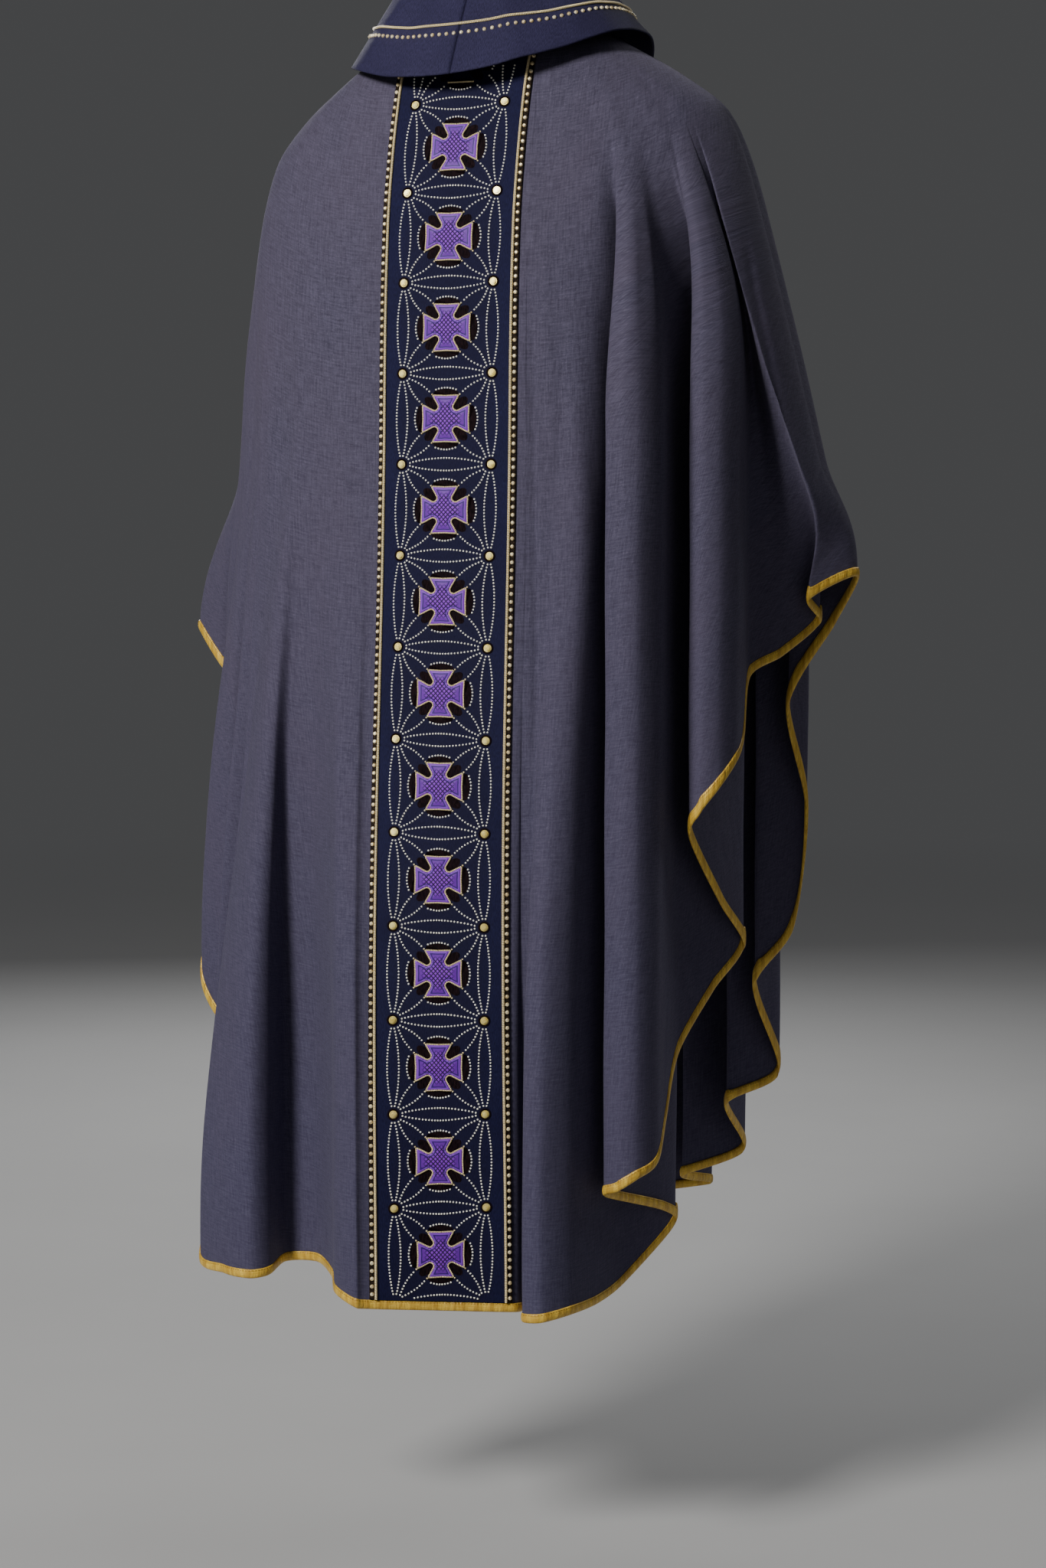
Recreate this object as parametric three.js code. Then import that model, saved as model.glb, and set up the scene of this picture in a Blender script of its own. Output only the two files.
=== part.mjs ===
// Chasuble in its worn form. Millimetres, +Z up, front toward -Y, wearer's right toward -X.
// The origin is the middle of the neck opening at shoulder level, where the wearer holds it up.
// The cloth is one parametric drape: rays run from the neck over the shoulders to the hem.
import * as THREE from "three";

// driving sizes
const WALL = 2; // cloth wall
const SEAM = 0.3; // clearance between sewn pieces
const BIND_WIDTH = 9; // gold binding, measured square to the edge
const BIND_PROUD = 0.5; // how far the binding's outer edge stands out on each face
const BAND_HALF = 70; // half width of the orphrey band
const BAND_WALL = 1.6;
const NECK_HALF = 96; // half width of the neck opening
const FALL_HALF = 300; // half width that the shares below refer to
const DEEPEST = -1250;
const SHOULDER_ROWS = 8; // rows from the neck to the shoulder level, the same height all round
const FALL_ROWS = 12; // rows from there to the edge
const SHOULDER_Z = -170; // from here down the rows fall between the crosses
const SHOULDER_POWER = 1.5; // rows lie closer together near the neck
const PER_TURN = 2; // columns in each step between two turns
const BAND_TOP_Z = -34; // the band starts under the collar
const CROSS_FIRST_Z = -126;
const CROSS_PITCH = 85.2;
const CROSS_STRETCH = 0.225;
const CROSS_COUNT = 13;
const CROSS_HEIGHT = 1.5;
const COLLAR_SEAT = 0.6; // clearance over the neck edge, because the two edges' chords differ
const CROSS_SEAT = 0.45; // clearance under a cross, because the band's facets turn a little

// smooth body form: one row per level, half widths and depths in mm, square is the oval's power
const LEVEL_COLUMNS = ["z", "right", "left", "rightY", "leftY", "back", "front", "square"];
const LEVELS = [
  [0, 96, 96, 0, 0, 74, -86, 2.0],
  [-20, 134, 120, 0, 0, 90, -94, 2.0],
  [-50, 186, 160, -2, 0, 104, -102, 2.1],
  [-85, 230, 200, -6, 0, 115, -112, 2.2],
  [-130, 250, 234, -12, -4, 127, -122, 2.3],
  [-200, 268, 252, -22, -8, 140, -132, 2.4],
  [-290, 286, 266, -40, -14, 147, -142, 2.4],
  [-420, 310, 282, -72, -24, 152, -156, 2.3],
  [-560, 336, 306, -104, -40, 160, -172, 2.2],
  [-900, 330, 316, -90, -36, 182, -210, 2.2],
  [-1250, 300, 310, -70, -20, 208, -262, 2.2],
].map((row) => Object.fromEntries(LEVEL_COLUMNS.map((key, i) => [key, row[i]]))).reverse();

// one row per fold crest, edge or pocket, going round from the centre back to the wearer's right
// side: 1 right, -1 left. across: share of the half width. face: 1 back, -1 front.
// x, y, z: where it ends at the hem. start, full: heights where the fold begins and is complete.
const TURN_COLUMNS = ["name", "side", "across", "face", "x", "y", "z", "start", "full"];
const TURNS = [
  ["back_centre", 1, 0, 1, -14, 206, -1236, -500, -1235],
  ["band_right", 1, 0.2333, 1, -76, 177, -1239, -500, -1239],
  ["r1_gutter", 1, 0.265, 1, -82, 156, -1242, -620, -1200],
  ["r1_deep", 1, 0.29, 1, -98, 157, -1243, -620, -1200],
  ["r1_edge", 1, 0.315, 1, -91, 190, -1244, -560, -1150],
  ["r1_crest", 1, 0.35, 1, -112, 196, -1242, -420, -1100],
  ["r1_mid", 1, 0.4, 1, -132, 169, -1239, -260, -1000],
  ["r1_flank", 1, 0.46, 1, -143, 116, -1239, -140, -700],
  ["r1_side", 1, 0.51, 1, -154, 67, -1229, -130, -520],
  ["r1_pocket", 1, 0.545, 1, -184, 3, -1184, -125, -430],
  ["r1_return", 1, 0.565, 1, -183, 31, -1162, -118, -410],
  ["r2_edge", 1, 0.585, 1, -155, 131, -1130, -105, -385],
  ["r2_crest", 1, 0.605, 1, -173, 148, -1120, -100, -380],
  ["r2_mid", 1, 0.63, 1, -191, 143, -1108, -100, -380],
  ["r2_round", 1, 0.66, 1, -202, 116, -1097, -100, -390],
  ["r2_flank", 1, 0.69, 1, -198, 75, -1062, -105, -400],
  ["r2_back", 1, 0.72, 1, -198, 34, -1003, -115, -425],
  ["r2_deep", 1, 0.745, 1, -219, -14, -947, -118, -425],
  ["r3_pocket", 1, 0.77, 1, -240, -47, -907, -118, -425],
  ["r3_return", 1, 0.785, 1, -231, 5, -857, -112, -415],
  ["r3_edge", 1, 0.8, 1, -217, 64, -787, -95, -345],
  ["r3_crest", 1, 0.815, 1, -232, 78, -761, -90, -335],
  ["r3_mid", 1, 0.835, 1, -249, 69, -737, -85, -330],
  ["r3_round", 1, 0.855, 1, -259, 44, -713, -86, -334],
  ["r3_back", 1, 0.87, 1, -257, 13, -693, -112, -352],
  ["r4_gutter", 1, 0.89, 1, -252, -24, -635, -104, -380],
  ["r4_mid", 1, 0.93, 1, -275, -62, -615, -250, -600],
  ["r4_corner", 1, 0.96, 1, -301, -101, -585, -380, -583],
  ["r4_turn", 1, 0.98, 1, -300, -64, -560, -440, -557],
  ["tip_right", 1, 1, 1, -338, -108, -537, -420, -536],
  ["fr_sleeve", 1, 0.96, -1, -307, -144, -585, -400, -580],
  ["fr_gutter_1", 1, 0.9, -1, -257, -149, -672, -150, -560],
  ["fr_crest_1", 1, 0.84, -1, -267, -189, -783, -150, -560],
  ["fr_round_1", 1, 0.79, -1, -252, -194, -904, -150, -580],
  ["fr_gutter_2", 1, 0.74, -1, -217, -170, -966, -150, -600],
  ["fr_crest_2", 1, 0.67, -1, -227, -231, -1065, -180, -700],
  ["fr_gutter_3", 1, 0.58, -1, -181, -192, -1095, -180, -700],
  ["fr_crest_3", 1, 0.49, -1, -176, -276, -1161, -200, -800],
  ["fr_gutter_4", 1, 0.38, -1, -119, -236, -1185, -220, -900],
  ["fr_crest_4", 1, 0.26, -1, -126, -318, -1209, -240, -900],
  ["fr_gutter_5", 1, 0.13, -1, -39, -240, -1211, -260, -1000],
  ["front_centre", 1, 0, -1, 3, -296, -1214, -300, -1050],
  ["fl_gutter_5", -1, 0.13, -1, 47, -236, -1212, -280, -1000],
  ["fl_crest_4", -1, 0.25, -1, 99, -303, -1206, -240, -900],
  ["fl_gutter_4", -1, 0.36, -1, 127, -233, -1184, -220, -900],
  ["fl_crest_3", -1, 0.47, -1, 178, -272, -1150, -200, -800],
  ["fl_gutter_3", -1, 0.57, -1, 190, -195, -1098, -180, -700],
  ["fl_crest_2", -1, 0.67, -1, 247, -217, -1040, -180, -700],
  ["fl_gutter_2", -1, 0.76, -1, 232, -152, -930, -150, -600],
  ["fl_crest_1", -1, 0.84, -1, 294, -159, -830, -150, -560],
  ["fl_gutter_1", -1, 0.9, -1, 279, -105, -740, -150, -560],
  ["fl_sleeve", -1, 0.96, -1, 334, -98, -660, -380, -640],
  ["tip_left", -1, 1, 1, 359, -52, -597, -400, -596],
  ["l5_flank", -1, 0.98, 1, 324, -29, -634, -400, -630],
  ["l4_gutter", -1, 0.95, 1, 278, -44, -690, -380, -680],
  ["l4_crest", -1, 0.925, 1, 307, -7, -770, -420, -760],
  ["l3_pocket", -1, 0.895, 1, 261, -5, -860, -420, -840],
  ["l3_crest", -1, 0.865, 1, 313, 44, -947, -460, -920],
  ["l3_flank", -1, 0.835, 1, 273, 67, -1006, -440, -960],
  ["l2_pocket", -1, 0.81, 1, 230, 46, -1046, -420, -960],
  ["l2_small", -1, 0.785, 1, 272, 101, -1069, -480, -1060],
  ["l2_back", -1, 0.76, 1, 224, 94, -1130, -440, -1060],
  ["l2_side", -1, 0.73, 1, 271, 141, -1220, -620, -1210],
  ["l2_round", -1, 0.68, 1, 229, 177, -1226, -500, -1180],
  ["l2_crest", -1, 0.63, 1, 196, 188, -1226, -400, -1100],
  ["l2_edge", -1, 0.59, 1, 182, 171, -1225, -360, -1050],
  ["l1_gutter", -1, 0.54, 1, 181, 132, -1220, -330, -1050],
  ["l1_deep", -1, 0.47, 1, 146, 136, -1217, -330, -1050],
  ["l1_back", -1, 0.4, 1, 112, 177, -1221, -360, -1100],
  ["l1_edge", -1, 0.345, 1, 87, 227, -1223, -400, -1150],
  ["l1_crest", -1, 0.29, 1, 59, 247, -1229, -450, -1200],
  ["band_left", -1, 0.2333, 1, 47, 238, -1232, -500, -1231],
].map((row) => Object.fromEntries(TURN_COLUMNS.map((key, i) => [key, row[i]])));
const COUNT = TURNS.length;
const BAND_RIGHT = TURNS.findIndex((turn) => turn.name === "band_right");
const FRONT_CENTRE = TURNS.findIndex((turn) => turn.name === "front_centre");
const TIP_RIGHT = TURNS.findIndex((turn) => turn.name === "tip_right");
const TIP_LEFT = TURNS.findIndex((turn) => turn.name === "tip_left");

// a smooth curve through the levels that never overshoots them
function slopes(key) {
  const gap = (i) => LEVELS[i + 1].z - LEVELS[i].z;
  const rise = (i) => (LEVELS[i + 1][key] - LEVELS[i][key]) / gap(i);
  return LEVELS.map((row, i) => {
    if (i === 0) return rise(0);
    if (i === LEVELS.length - 1) return rise(i - 1);
    if (rise(i - 1) * rise(i) <= 0) return 0;
    const a = 2 * gap(i) + gap(i - 1);
    const b = gap(i) + 2 * gap(i - 1);
    return (a + b) / (a / rise(i - 1) + b / rise(i));
  });
}
const SLOPES = Object.fromEntries(LEVEL_COLUMNS.slice(1).map((key) => [key, slopes(key)]));

function hermite(a, b, ma, mb, f) {
  const g = 1 - f;
  return a * (1 + 2 * f) * g * g + ma * f * g * g + b * f * f * (3 - 2 * f) + mb * f * f * (f - 1);
}

function level(key, height) {
  const z = Math.min(0, Math.max(DEEPEST, height));
  let i = 0;
  while (i < LEVELS.length - 2 && LEVELS[i + 1].z < z) i += 1;
  const gap = LEVELS[i + 1].z - LEVELS[i].z;
  const m = SLOPES[key];
  return hermite(LEVELS[i][key], LEVELS[i + 1][key], m[i] * gap, m[i + 1] * gap, (z - LEVELS[i].z) / gap);
}

// how far round a turn is: 0 back, 1 right side, 2 front, 3 left side, 4 back again
function around(turn) {
  const quarter = Math.asin(turn.across) / (Math.PI / 2);
  if (turn.side > 0) return turn.face > 0 ? quarter : 2 - quarter;
  return turn.face > 0 ? 4 - quarter : 2 + quarter;
}
const AROUND = TURNS.map(around);

function through(values, u, wrap, soft) {
  const i = Math.floor(u);
  const at = (k) => values[((k % COUNT) + COUNT) % COUNT] + wrap * Math.floor(k / COUNT);
  const [a, b, c, d] = [at(i - 1), at(i), at(i + 1), at(i + 2)];
  return hermite(b, c, ((c - a) / 2) * soft, ((d - b) / 2) * soft, u - i);
}
const COLUMN = Object.fromEntries(
  ["x", "y", "z", "start", "full"].map((key) => [key, TURNS.map((turn) => turn[key])]),
);
const turnValue = (key, u) => through(COLUMN[key], u, 0, 0.85);

function quarterOf(u) {
  const a = ((through(AROUND, u, 4, 0.9) % 4) + 4) % 4;
  const side = a < 2 ? 1 : -1;
  const face = a < 1 || a >= 3 ? 1 : -1;
  const fold = [a, 2 - a, a - 2, 4 - a][Math.min(3, Math.floor(a))];
  return { side, face, share: Math.sin((fold * Math.PI) / 2), turned: Math.cos((a * Math.PI) / 2) };
}

function neckHeight(u) {
  const { turned } = quarterOf(u);
  return -6 - (turned > 0 ? 12 : 46) * turned * turned;
}

// a point of the smooth form under the folds
function form({ side, face, share }, z) {
  const half = level(side > 0 ? "right" : "left", z);
  const sideY = level(side > 0 ? "rightY" : "leftY", z);
  const bandShare = BAND_HALF / FALL_HALF;
  const bandNeck = BAND_HALF / NECK_HALF;
  const neck =
    share < bandShare
      ? (share / bandShare) * bandNeck
      : bandNeck + ((share - bandShare) / (1 - bandShare)) * (1 - bandNeck);
  const upward = (1 / half - 1 / FALL_HALF) / (1 / NECK_HALF - 1 / FALL_HALF);
  const f = Math.min(1, Math.max(0, share + (neck - share) * upward));
  const p = level("square", z);
  const depth = level(face > 0 ? "back" : "front", z);
  return [-side * half * f, sideY * f ** p + depth * Math.max(0, 1 - f ** p) ** (1 / p)];
}

const ease = (x) => {
  const k = Math.min(1, Math.max(0, x));
  return k * k * (3 - 2 * k);
};

// a point of the cloth's outer face on ray u at height z
function cloth(u, z) {
  const [x, y] = form(quarterOf(u), z);
  const start = turnValue("start", u);
  const run = Math.max(60, start - turnValue("full", u));
  const most = ease((start - turnValue("z", u)) / run);
  const grown = Math.min(1, ease((start - z) / run) / most);
  return new THREE.Vector3(
    x + (turnValue("x", u) - x) * grown,
    y + (turnValue("y", u) - y) * grown,
    z,
  );
}

// the direction square to the cloth, from the facets on either side of a column
// it is longer than 1 at a sharp turn, so that the wall keeps its thickness there
function normalAt(u, z) {
  const step = 1 / PER_TURN;
  const here = cloth(u, z);
  const up = cloth(u, Math.min(-1, z + 4)).sub(cloth(u, z - 4));
  const before = here.clone().sub(cloth(u - step, z)).cross(up).normalize();
  const after = cloth(u + step, z).sub(here).cross(up).normalize();
  const middle = before.clone().add(after).normalize();
  return middle.multiplyScalar(1 / Math.max(0.6, middle.dot(after)));
}

// how much longer the binding is along a ray where the edge runs at a slant
function slant(u) {
  const du = 0.1;
  const a = cloth(u - du, turnValue("z", u - du));
  const b = cloth(u + du, turnValue("z", u + du));
  const flat = Math.hypot(b.x - a.x, b.y - a.y);
  return Math.min(2.2, Math.hypot(1, (b.z - a.z) / Math.max(flat, 1)));
}

const columns = (from, to) => {
  const list = [];
  for (let k = 0; k <= (to - from) * PER_TURN; k += 1) list.push(from + k / PER_TURN);
  return list;
};

// a column of outer points with the directions in which its wall is moved
function column(u, heights, shift) {
  return heights.map((z) => {
    const point = cloth(u, z);
    const normal = normalAt(u, z);
    if (shift) {
      const along = cloth(u + 0.1 * Math.sign(shift), z).sub(point).normalize();
      point.addScaledVector(along, Math.abs(shift));
    }
    return { point, normal };
  });
}

const panelHeights = (u) => {
  const top = neckHeight(u);
  const bottom = turnValue("z", u) + (BIND_WIDTH + SEAM) * slant(u);
  const list = [];
  for (let k = 0; k < SHOULDER_ROWS; k += 1) {
    list.push(top + (SHOULDER_Z - top) * (k / SHOULDER_ROWS) ** SHOULDER_POWER);
  }
  for (let k = 0; k <= FALL_ROWS; k += 1) {
    list.push(SHOULDER_Z + (bottom - SHOULDER_Z) * (k / FALL_ROWS));
  }
  return list;
};

const bindingHeights = (u) => {
  const hem = turnValue("z", u);
  return [hem + BIND_WIDTH * slant(u), hem];
};

// a closed wall from a grid of points: near is the outer face and far the inner one
// swell thickens the last row on both faces
function wall(name, colour, grid, near, far, swell = 0) {
  const wide = grid.length;
  const high = grid[0].length;
  const position = [];
  for (const offset of [near, far]) {
    for (const line of grid) {
      line.forEach(({ point, normal }, row) => {
        const extra = row === high - 1 ? swell * (offset === near ? 1 : -1) : 0;
        const p = point.clone().addScaledVector(normal, offset + extra);
        position.push(p.x, p.y, p.z);
      });
    }
  }
  const index = [];
  const outer = (i, j) => i * high + j;
  const inner = (i, j) => wide * high + i * high + j;
  const quad = (a, b, c, d) => index.push(a, b, c, a, c, d);
  for (let i = 0; i < wide - 1; i += 1) {
    for (let j = 0; j < high - 1; j += 1) {
      quad(outer(i, j), outer(i, j + 1), outer(i + 1, j + 1), outer(i + 1, j));
      quad(inner(i, j), inner(i + 1, j), inner(i + 1, j + 1), inner(i, j + 1));
    }
    quad(outer(i + 1, 0), inner(i + 1, 0), inner(i, 0), outer(i, 0));
    quad(outer(i + 1, high - 1), outer(i, high - 1), inner(i, high - 1), inner(i + 1, high - 1));
  }
  for (let j = 0; j < high - 1; j += 1) {
    quad(outer(0, j + 1), outer(0, j), inner(0, j), inner(0, j + 1));
    const e = wide - 1;
    quad(outer(e, j), outer(e, j + 1), inner(e, j + 1), inner(e, j));
  }
  return solid(name, colour, position, index);
}

// a mesh with its faces turned outward
function solid(name, colour, position, index) {
  let volume = 0;
  const at = (k) => new THREE.Vector3().fromArray(position, index[k] * 3);
  for (let k = 0; k < index.length; k += 3) {
    volume += at(k).dot(at(k + 1).cross(at(k + 2)));
  }
  if (volume < 0) {
    for (let k = 0; k < index.length; k += 3) {
      [index[k + 1], index[k + 2]] = [index[k + 2], index[k + 1]];
    }
  }
  const geometry = new THREE.BufferGeometry();
  geometry.setAttribute("position", new THREE.Float32BufferAttribute(position, 3));
  geometry.setIndex(index);
  geometry.computeVertexNormals();
  const mesh = new THREE.Mesh(geometry, new THREE.MeshStandardMaterial({ color: colour, roughness: 0.8 }));
  mesh.name = name;
  return mesh;
}

// a panel and its binding between two seams
function panel(from, to, heights) {
  const list = columns(from, to);
  return list.map((u, i) => {
    const shift = i === 0 ? SEAM / 2 : i === list.length - 1 ? -SEAM / 2 : 0;
    return column(u, heights(u), shift);
  });
}

// the band lies on the back panel's own points
function bandGrid() {
  return columns(-1, BAND_RIGHT).map((u) => {
    const heights = panelHeights(u).filter((z) => z < BAND_TOP_Z);
    return { u, heights };
  });
}

// the point just above the panels' neck edge that lies in the same direction as x, y
function neckSeam(x, y) {
  const aim = Math.atan2(Math.abs(x), y);
  let near = 0;
  let far = x > 0 ? FRONT_CENTRE - COUNT : FRONT_CENTRE;
  for (let k = 0; k < 30; k += 1) {
    const u = (near + far) / 2;
    const edge = cloth(u, neckHeight(u));
    if (Math.atan2(Math.abs(edge.x), edge.y) < aim) near = u;
    else far = u;
  }
  const top = neckHeight(near);
  return cloth(near, top).addScaledVector(normalAt(near, top).normalize(), COLLAR_SEAT);
}

// collar: one row per step of its section, from the neck seam up, over and down to the free edge
// the first row is moved onto the panels' neck edge
// side, back, front: distances from the neck's middle; sideZ, backZ, frontZ: heights
const COLLAR_COLUMNS = ["side", "back", "front", "sideZ", "backZ", "frontZ"];
const COLLAR = [
  [107, 88, -102, -6, -18, -52],
  [94, 74, -89, 14, 4, -33],
  [88, 68, -86, 35, 25, -15],
  [91, 71, -90, 47, 37, -5],
  [98, 78, -98, 50, 40, -3],
  [106, 87, -108, 42, 31, -10],
  [120, 102, -126, 22, 8, -34],
  [134, 121, -146, 2, -22, -60],
  [149, 141, -166, -18, -56, -92],
].map((row) => Object.fromEntries(COLLAR_COLUMNS.map((key, i) => [key, row[i]])));
const COLLAR_STEPS = 20;
const COLLAR_TILT = 0.085; // the collar sits higher on the wearer's right

function collarPoint(step, turn) {
  const row = COLLAR[step];
  const c = Math.cos(turn);
  const s = Math.sin(turn);
  const depth = c > 0 ? row.back : -row.front;
  const edge = step / (COLLAR.length - 1);
  const z = row.sideZ + ((c > 0 ? row.backZ : row.frontZ) - row.sideZ) * c * c;
  const x = -row.side * s;
  if (step === 0) return neckSeam(x, depth * c);
  return new THREE.Vector3(x, depth * c, z - x * COLLAR_TILT * edge * edge);
}

function collarHalf(name, sign) {
  const grid = [];
  for (let i = 0; i <= COLLAR_STEPS; i += 1) {
    const turn = (sign * Math.PI * i) / COLLAR_STEPS;
    const line = COLLAR.map((row, step) => {
      const lower = collarPoint(Math.max(0, step - 1), turn);
      const upper = collarPoint(Math.min(COLLAR.length - 1, step + 1), turn);
      const along = collarPoint(step, turn + 0.05).sub(collarPoint(step, turn - 0.05));
      const normal = along.cross(upper.sub(lower)).normalize();
      const point = collarPoint(step, turn);
      if (i === 0 || i === COLLAR_STEPS) point.x -= (sign * SEAM) / 2;
      return { point, normal };
    });
    grid.push(line);
  }
  return wall(name, "#2c3052", grid, 0, WALL);
}

// cross outline for one quarter, from the middle of an arm's end to the middle of the next one's
const CROSS_QUARTER = [
  [0, 22],
  [12.5, 24],
  [9.2, 17],
  [7.2, 11.5],
  [7.6, 7.6],
  [11.5, 7.2],
  [17, 9.2],
  [24, 12.5],
];

function crossOutline() {
  const list = [];
  for (let q = 0; q < 4; q += 1) {
    for (const [a, b] of CROSS_QUARTER) {
      const turned = [[a, b], [b, -a], [-a, -b], [-b, a]][q];
      list.push(turned);
    }
  }
  return list;
}

// a point on the band's own flat facets, so that nothing laid on it dips into it
function onBand(band, across, z) {
  const u = across / BAND_HALF;
  const c = Math.min(band.length - 2, Math.max(0, Math.floor((u + 1) * PER_TURN)));
  const f = (u + 1) * PER_TURN - c;
  const [left, right] = [band[c], band[c + 1]];
  const mix = (a, b, k) => a.clone().lerp(b, k);
  let r = 0;
  const heightAt = (k) => left[k].point.z * (1 - f) + right[k].point.z * f;
  while (r < left.length - 2 && heightAt(r + 1) > z) r += 1;
  const g = (heightAt(r) - z) / (heightAt(r) - heightAt(r + 1));
  const lift = (entry) => entry.point.clone().addScaledVector(entry.normal, SEAM + BAND_WALL);
  const [a, b, d, e] = [left[r], left[r + 1], right[r + 1], right[r]].map(lift);
  const point =
    g > f
      ? a.clone().addScaledVector(b.clone().sub(a), g - f).addScaledVector(d.clone().sub(a), f)
      : a.clone().addScaledVector(d.clone().sub(a), g).addScaledVector(e.clone().sub(a), f - g);
  const normal = mix(mix(left[r].normal, left[r + 1].normal, g), mix(right[r].normal, right[r + 1].normal, g), f);
  return { point, normal: normal.normalize() };
}

function cross(band, number) {
  const centreZ = CROSS_FIRST_Z - CROSS_PITCH * number - CROSS_STRETCH * number * number;
  const outline = crossOutline();
  const corners = [[0, 0], ...outline].map(([a, b]) => onBand(band, a, centreZ + b));
  const position = [];
  for (const offset of [CROSS_SEAT, CROSS_SEAT + CROSS_HEIGHT]) {
    for (const { point, normal } of corners) {
      const p = point.clone().addScaledVector(normal, offset);
      position.push(p.x, p.y, p.z);
    }
  }
  const index = [];
  const n = outline.length;
  const top = n + 1;
  for (let k = 0; k < n; k += 1) {
    const a = 1 + k;
    const b = 1 + ((k + 1) % n);
    index.push(0, b, a, top, top + a, top + b, a, b, top + b, a, top + b, top + a);
  }
  const label = String(number + 1).padStart(2, "0");
  return solid(`cross_${label}`, "#6f3bb8", position, index);
}

function garment() {
  const group = new THREE.Group();
  const violet = "#4a475e";
  const gold = "#c89a34";
  const backFrom = TIP_LEFT - COUNT;
  group.add(wall("back_panel", violet, panel(backFrom, TIP_RIGHT, panelHeights), 0, -WALL));
  group.add(wall("front_panel", violet, panel(TIP_RIGHT, TIP_LEFT, panelHeights), 0, -WALL));
  const proud = [0, -WALL, BIND_PROUD];
  group.add(wall("binding_back", gold, panel(backFrom, TIP_RIGHT, bindingHeights), ...proud));
  group.add(wall("binding_front", gold, panel(TIP_RIGHT, TIP_LEFT, bindingHeights), ...proud));
  const rows = bandGrid();
  const least = Math.min(...rows.map((row) => row.heights.length));
  const band = rows.map(({ u, heights }) => column(u, heights.slice(-least), 0));
  group.add(wall("orphrey", "#252a4e", band, SEAM + BAND_WALL, SEAM));
  for (let k = 0; k < CROSS_COUNT; k += 1) group.add(cross(band, k));
  group.add(collarHalf("collar_right", 1));
  group.add(collarHalf("collar_left", -1));
  return group;
}

export default garment();
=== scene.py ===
# %% [markdown]
# # Chasuble in its worn form
# The garment hangs hollow, as it is worn. Its cloth is one drape: rays run from the neck over the
# shoulders and down to the hem, and each ray ends on a fold's crest or in its pocket. Everything
# else (binding, band, crosses, cords, beads) is laid on that drape. Right and left are the
# garment's own: its right is toward -X and its front toward -Y.
# Sizes are in millimetres until a mesh is made. The mesh helper turns them into metres.

# %% The frame
import math

import bmesh
import bpy
import numpy as np
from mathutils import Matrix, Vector


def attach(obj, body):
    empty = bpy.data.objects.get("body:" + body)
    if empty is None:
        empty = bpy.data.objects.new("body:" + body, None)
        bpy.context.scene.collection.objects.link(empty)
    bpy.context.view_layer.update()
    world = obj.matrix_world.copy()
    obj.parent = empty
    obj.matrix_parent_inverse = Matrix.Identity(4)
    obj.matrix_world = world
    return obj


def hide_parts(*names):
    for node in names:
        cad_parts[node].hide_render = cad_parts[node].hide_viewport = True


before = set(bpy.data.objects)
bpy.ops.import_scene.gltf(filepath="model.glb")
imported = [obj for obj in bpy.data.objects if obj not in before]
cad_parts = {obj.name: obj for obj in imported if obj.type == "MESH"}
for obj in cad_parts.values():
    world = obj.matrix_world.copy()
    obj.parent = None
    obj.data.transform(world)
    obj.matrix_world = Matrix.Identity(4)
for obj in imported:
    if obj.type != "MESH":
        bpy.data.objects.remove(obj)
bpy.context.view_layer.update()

# %% [markdown]
# ## Sizes
# The same driving sizes as the CAD, so that each piece lies where its solid is.

# %% Sizes
MM = 0.001  # a millimetre in metres
SEAM = 0.3  # gap between pieces that are sewn together
BIND_WIDTH = 9.0
BAND_HALF = 70.0
BAND_LIFT = 1.9  # top face of the band over the cloth
BAND_TOP_Z = -34.0
NECK_HALF = 96.0
FALL_HALF = 300.0  # TURNS gives its column across in parts of this half width
DEEPEST = -1250.0
SHOULDER_Z = -170.0
CROSS_FIRST_Z, CROSS_PITCH, CROSS_STRETCH, CROSS_COUNT = -126.0, 85.2, 0.225, 13
COLLAR_TILT = 0.085  # the collar sits higher on its right side
COLLAR_SEAT = 0.6  # its first row over the cloth
UP = np.array([0.0, 0.0, 1.0])

# %% [markdown]
# ## The tables
# LEVELS is the smooth form under the folds. TURNS has one row per fold crest, edge or pocket,
# going round from the centre back to the right, the front, the left and back again. COLLAR has
# one row for each line round the collar, from the neck seam up, over and down to the free edge.

# %% Tables
LEVEL_COLUMNS = ("z", "right", "left", "rightY", "leftY", "back", "front", "square")
LEVELS = [
    (0, 96, 96, 0, 0, 74, -86, 2.0),
    (-20, 134, 120, 0, 0, 90, -94, 2.0),
    (-50, 186, 160, -2, 0, 104, -102, 2.1),
    (-85, 230, 200, -6, 0, 115, -112, 2.2),
    (-130, 250, 234, -12, -4, 127, -122, 2.3),
    (-200, 268, 252, -22, -8, 140, -132, 2.4),
    (-290, 286, 266, -40, -14, 147, -142, 2.4),
    (-420, 310, 282, -72, -24, 152, -156, 2.3),
    (-560, 336, 306, -104, -40, 160, -172, 2.2),
    (-900, 330, 316, -90, -36, 182, -210, 2.2),
    (-1250, 300, 310, -70, -20, 208, -262, 2.2),
]
TURN_COLUMNS = ("name", "side", "across", "face", "x", "y", "z", "start", "full")
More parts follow.
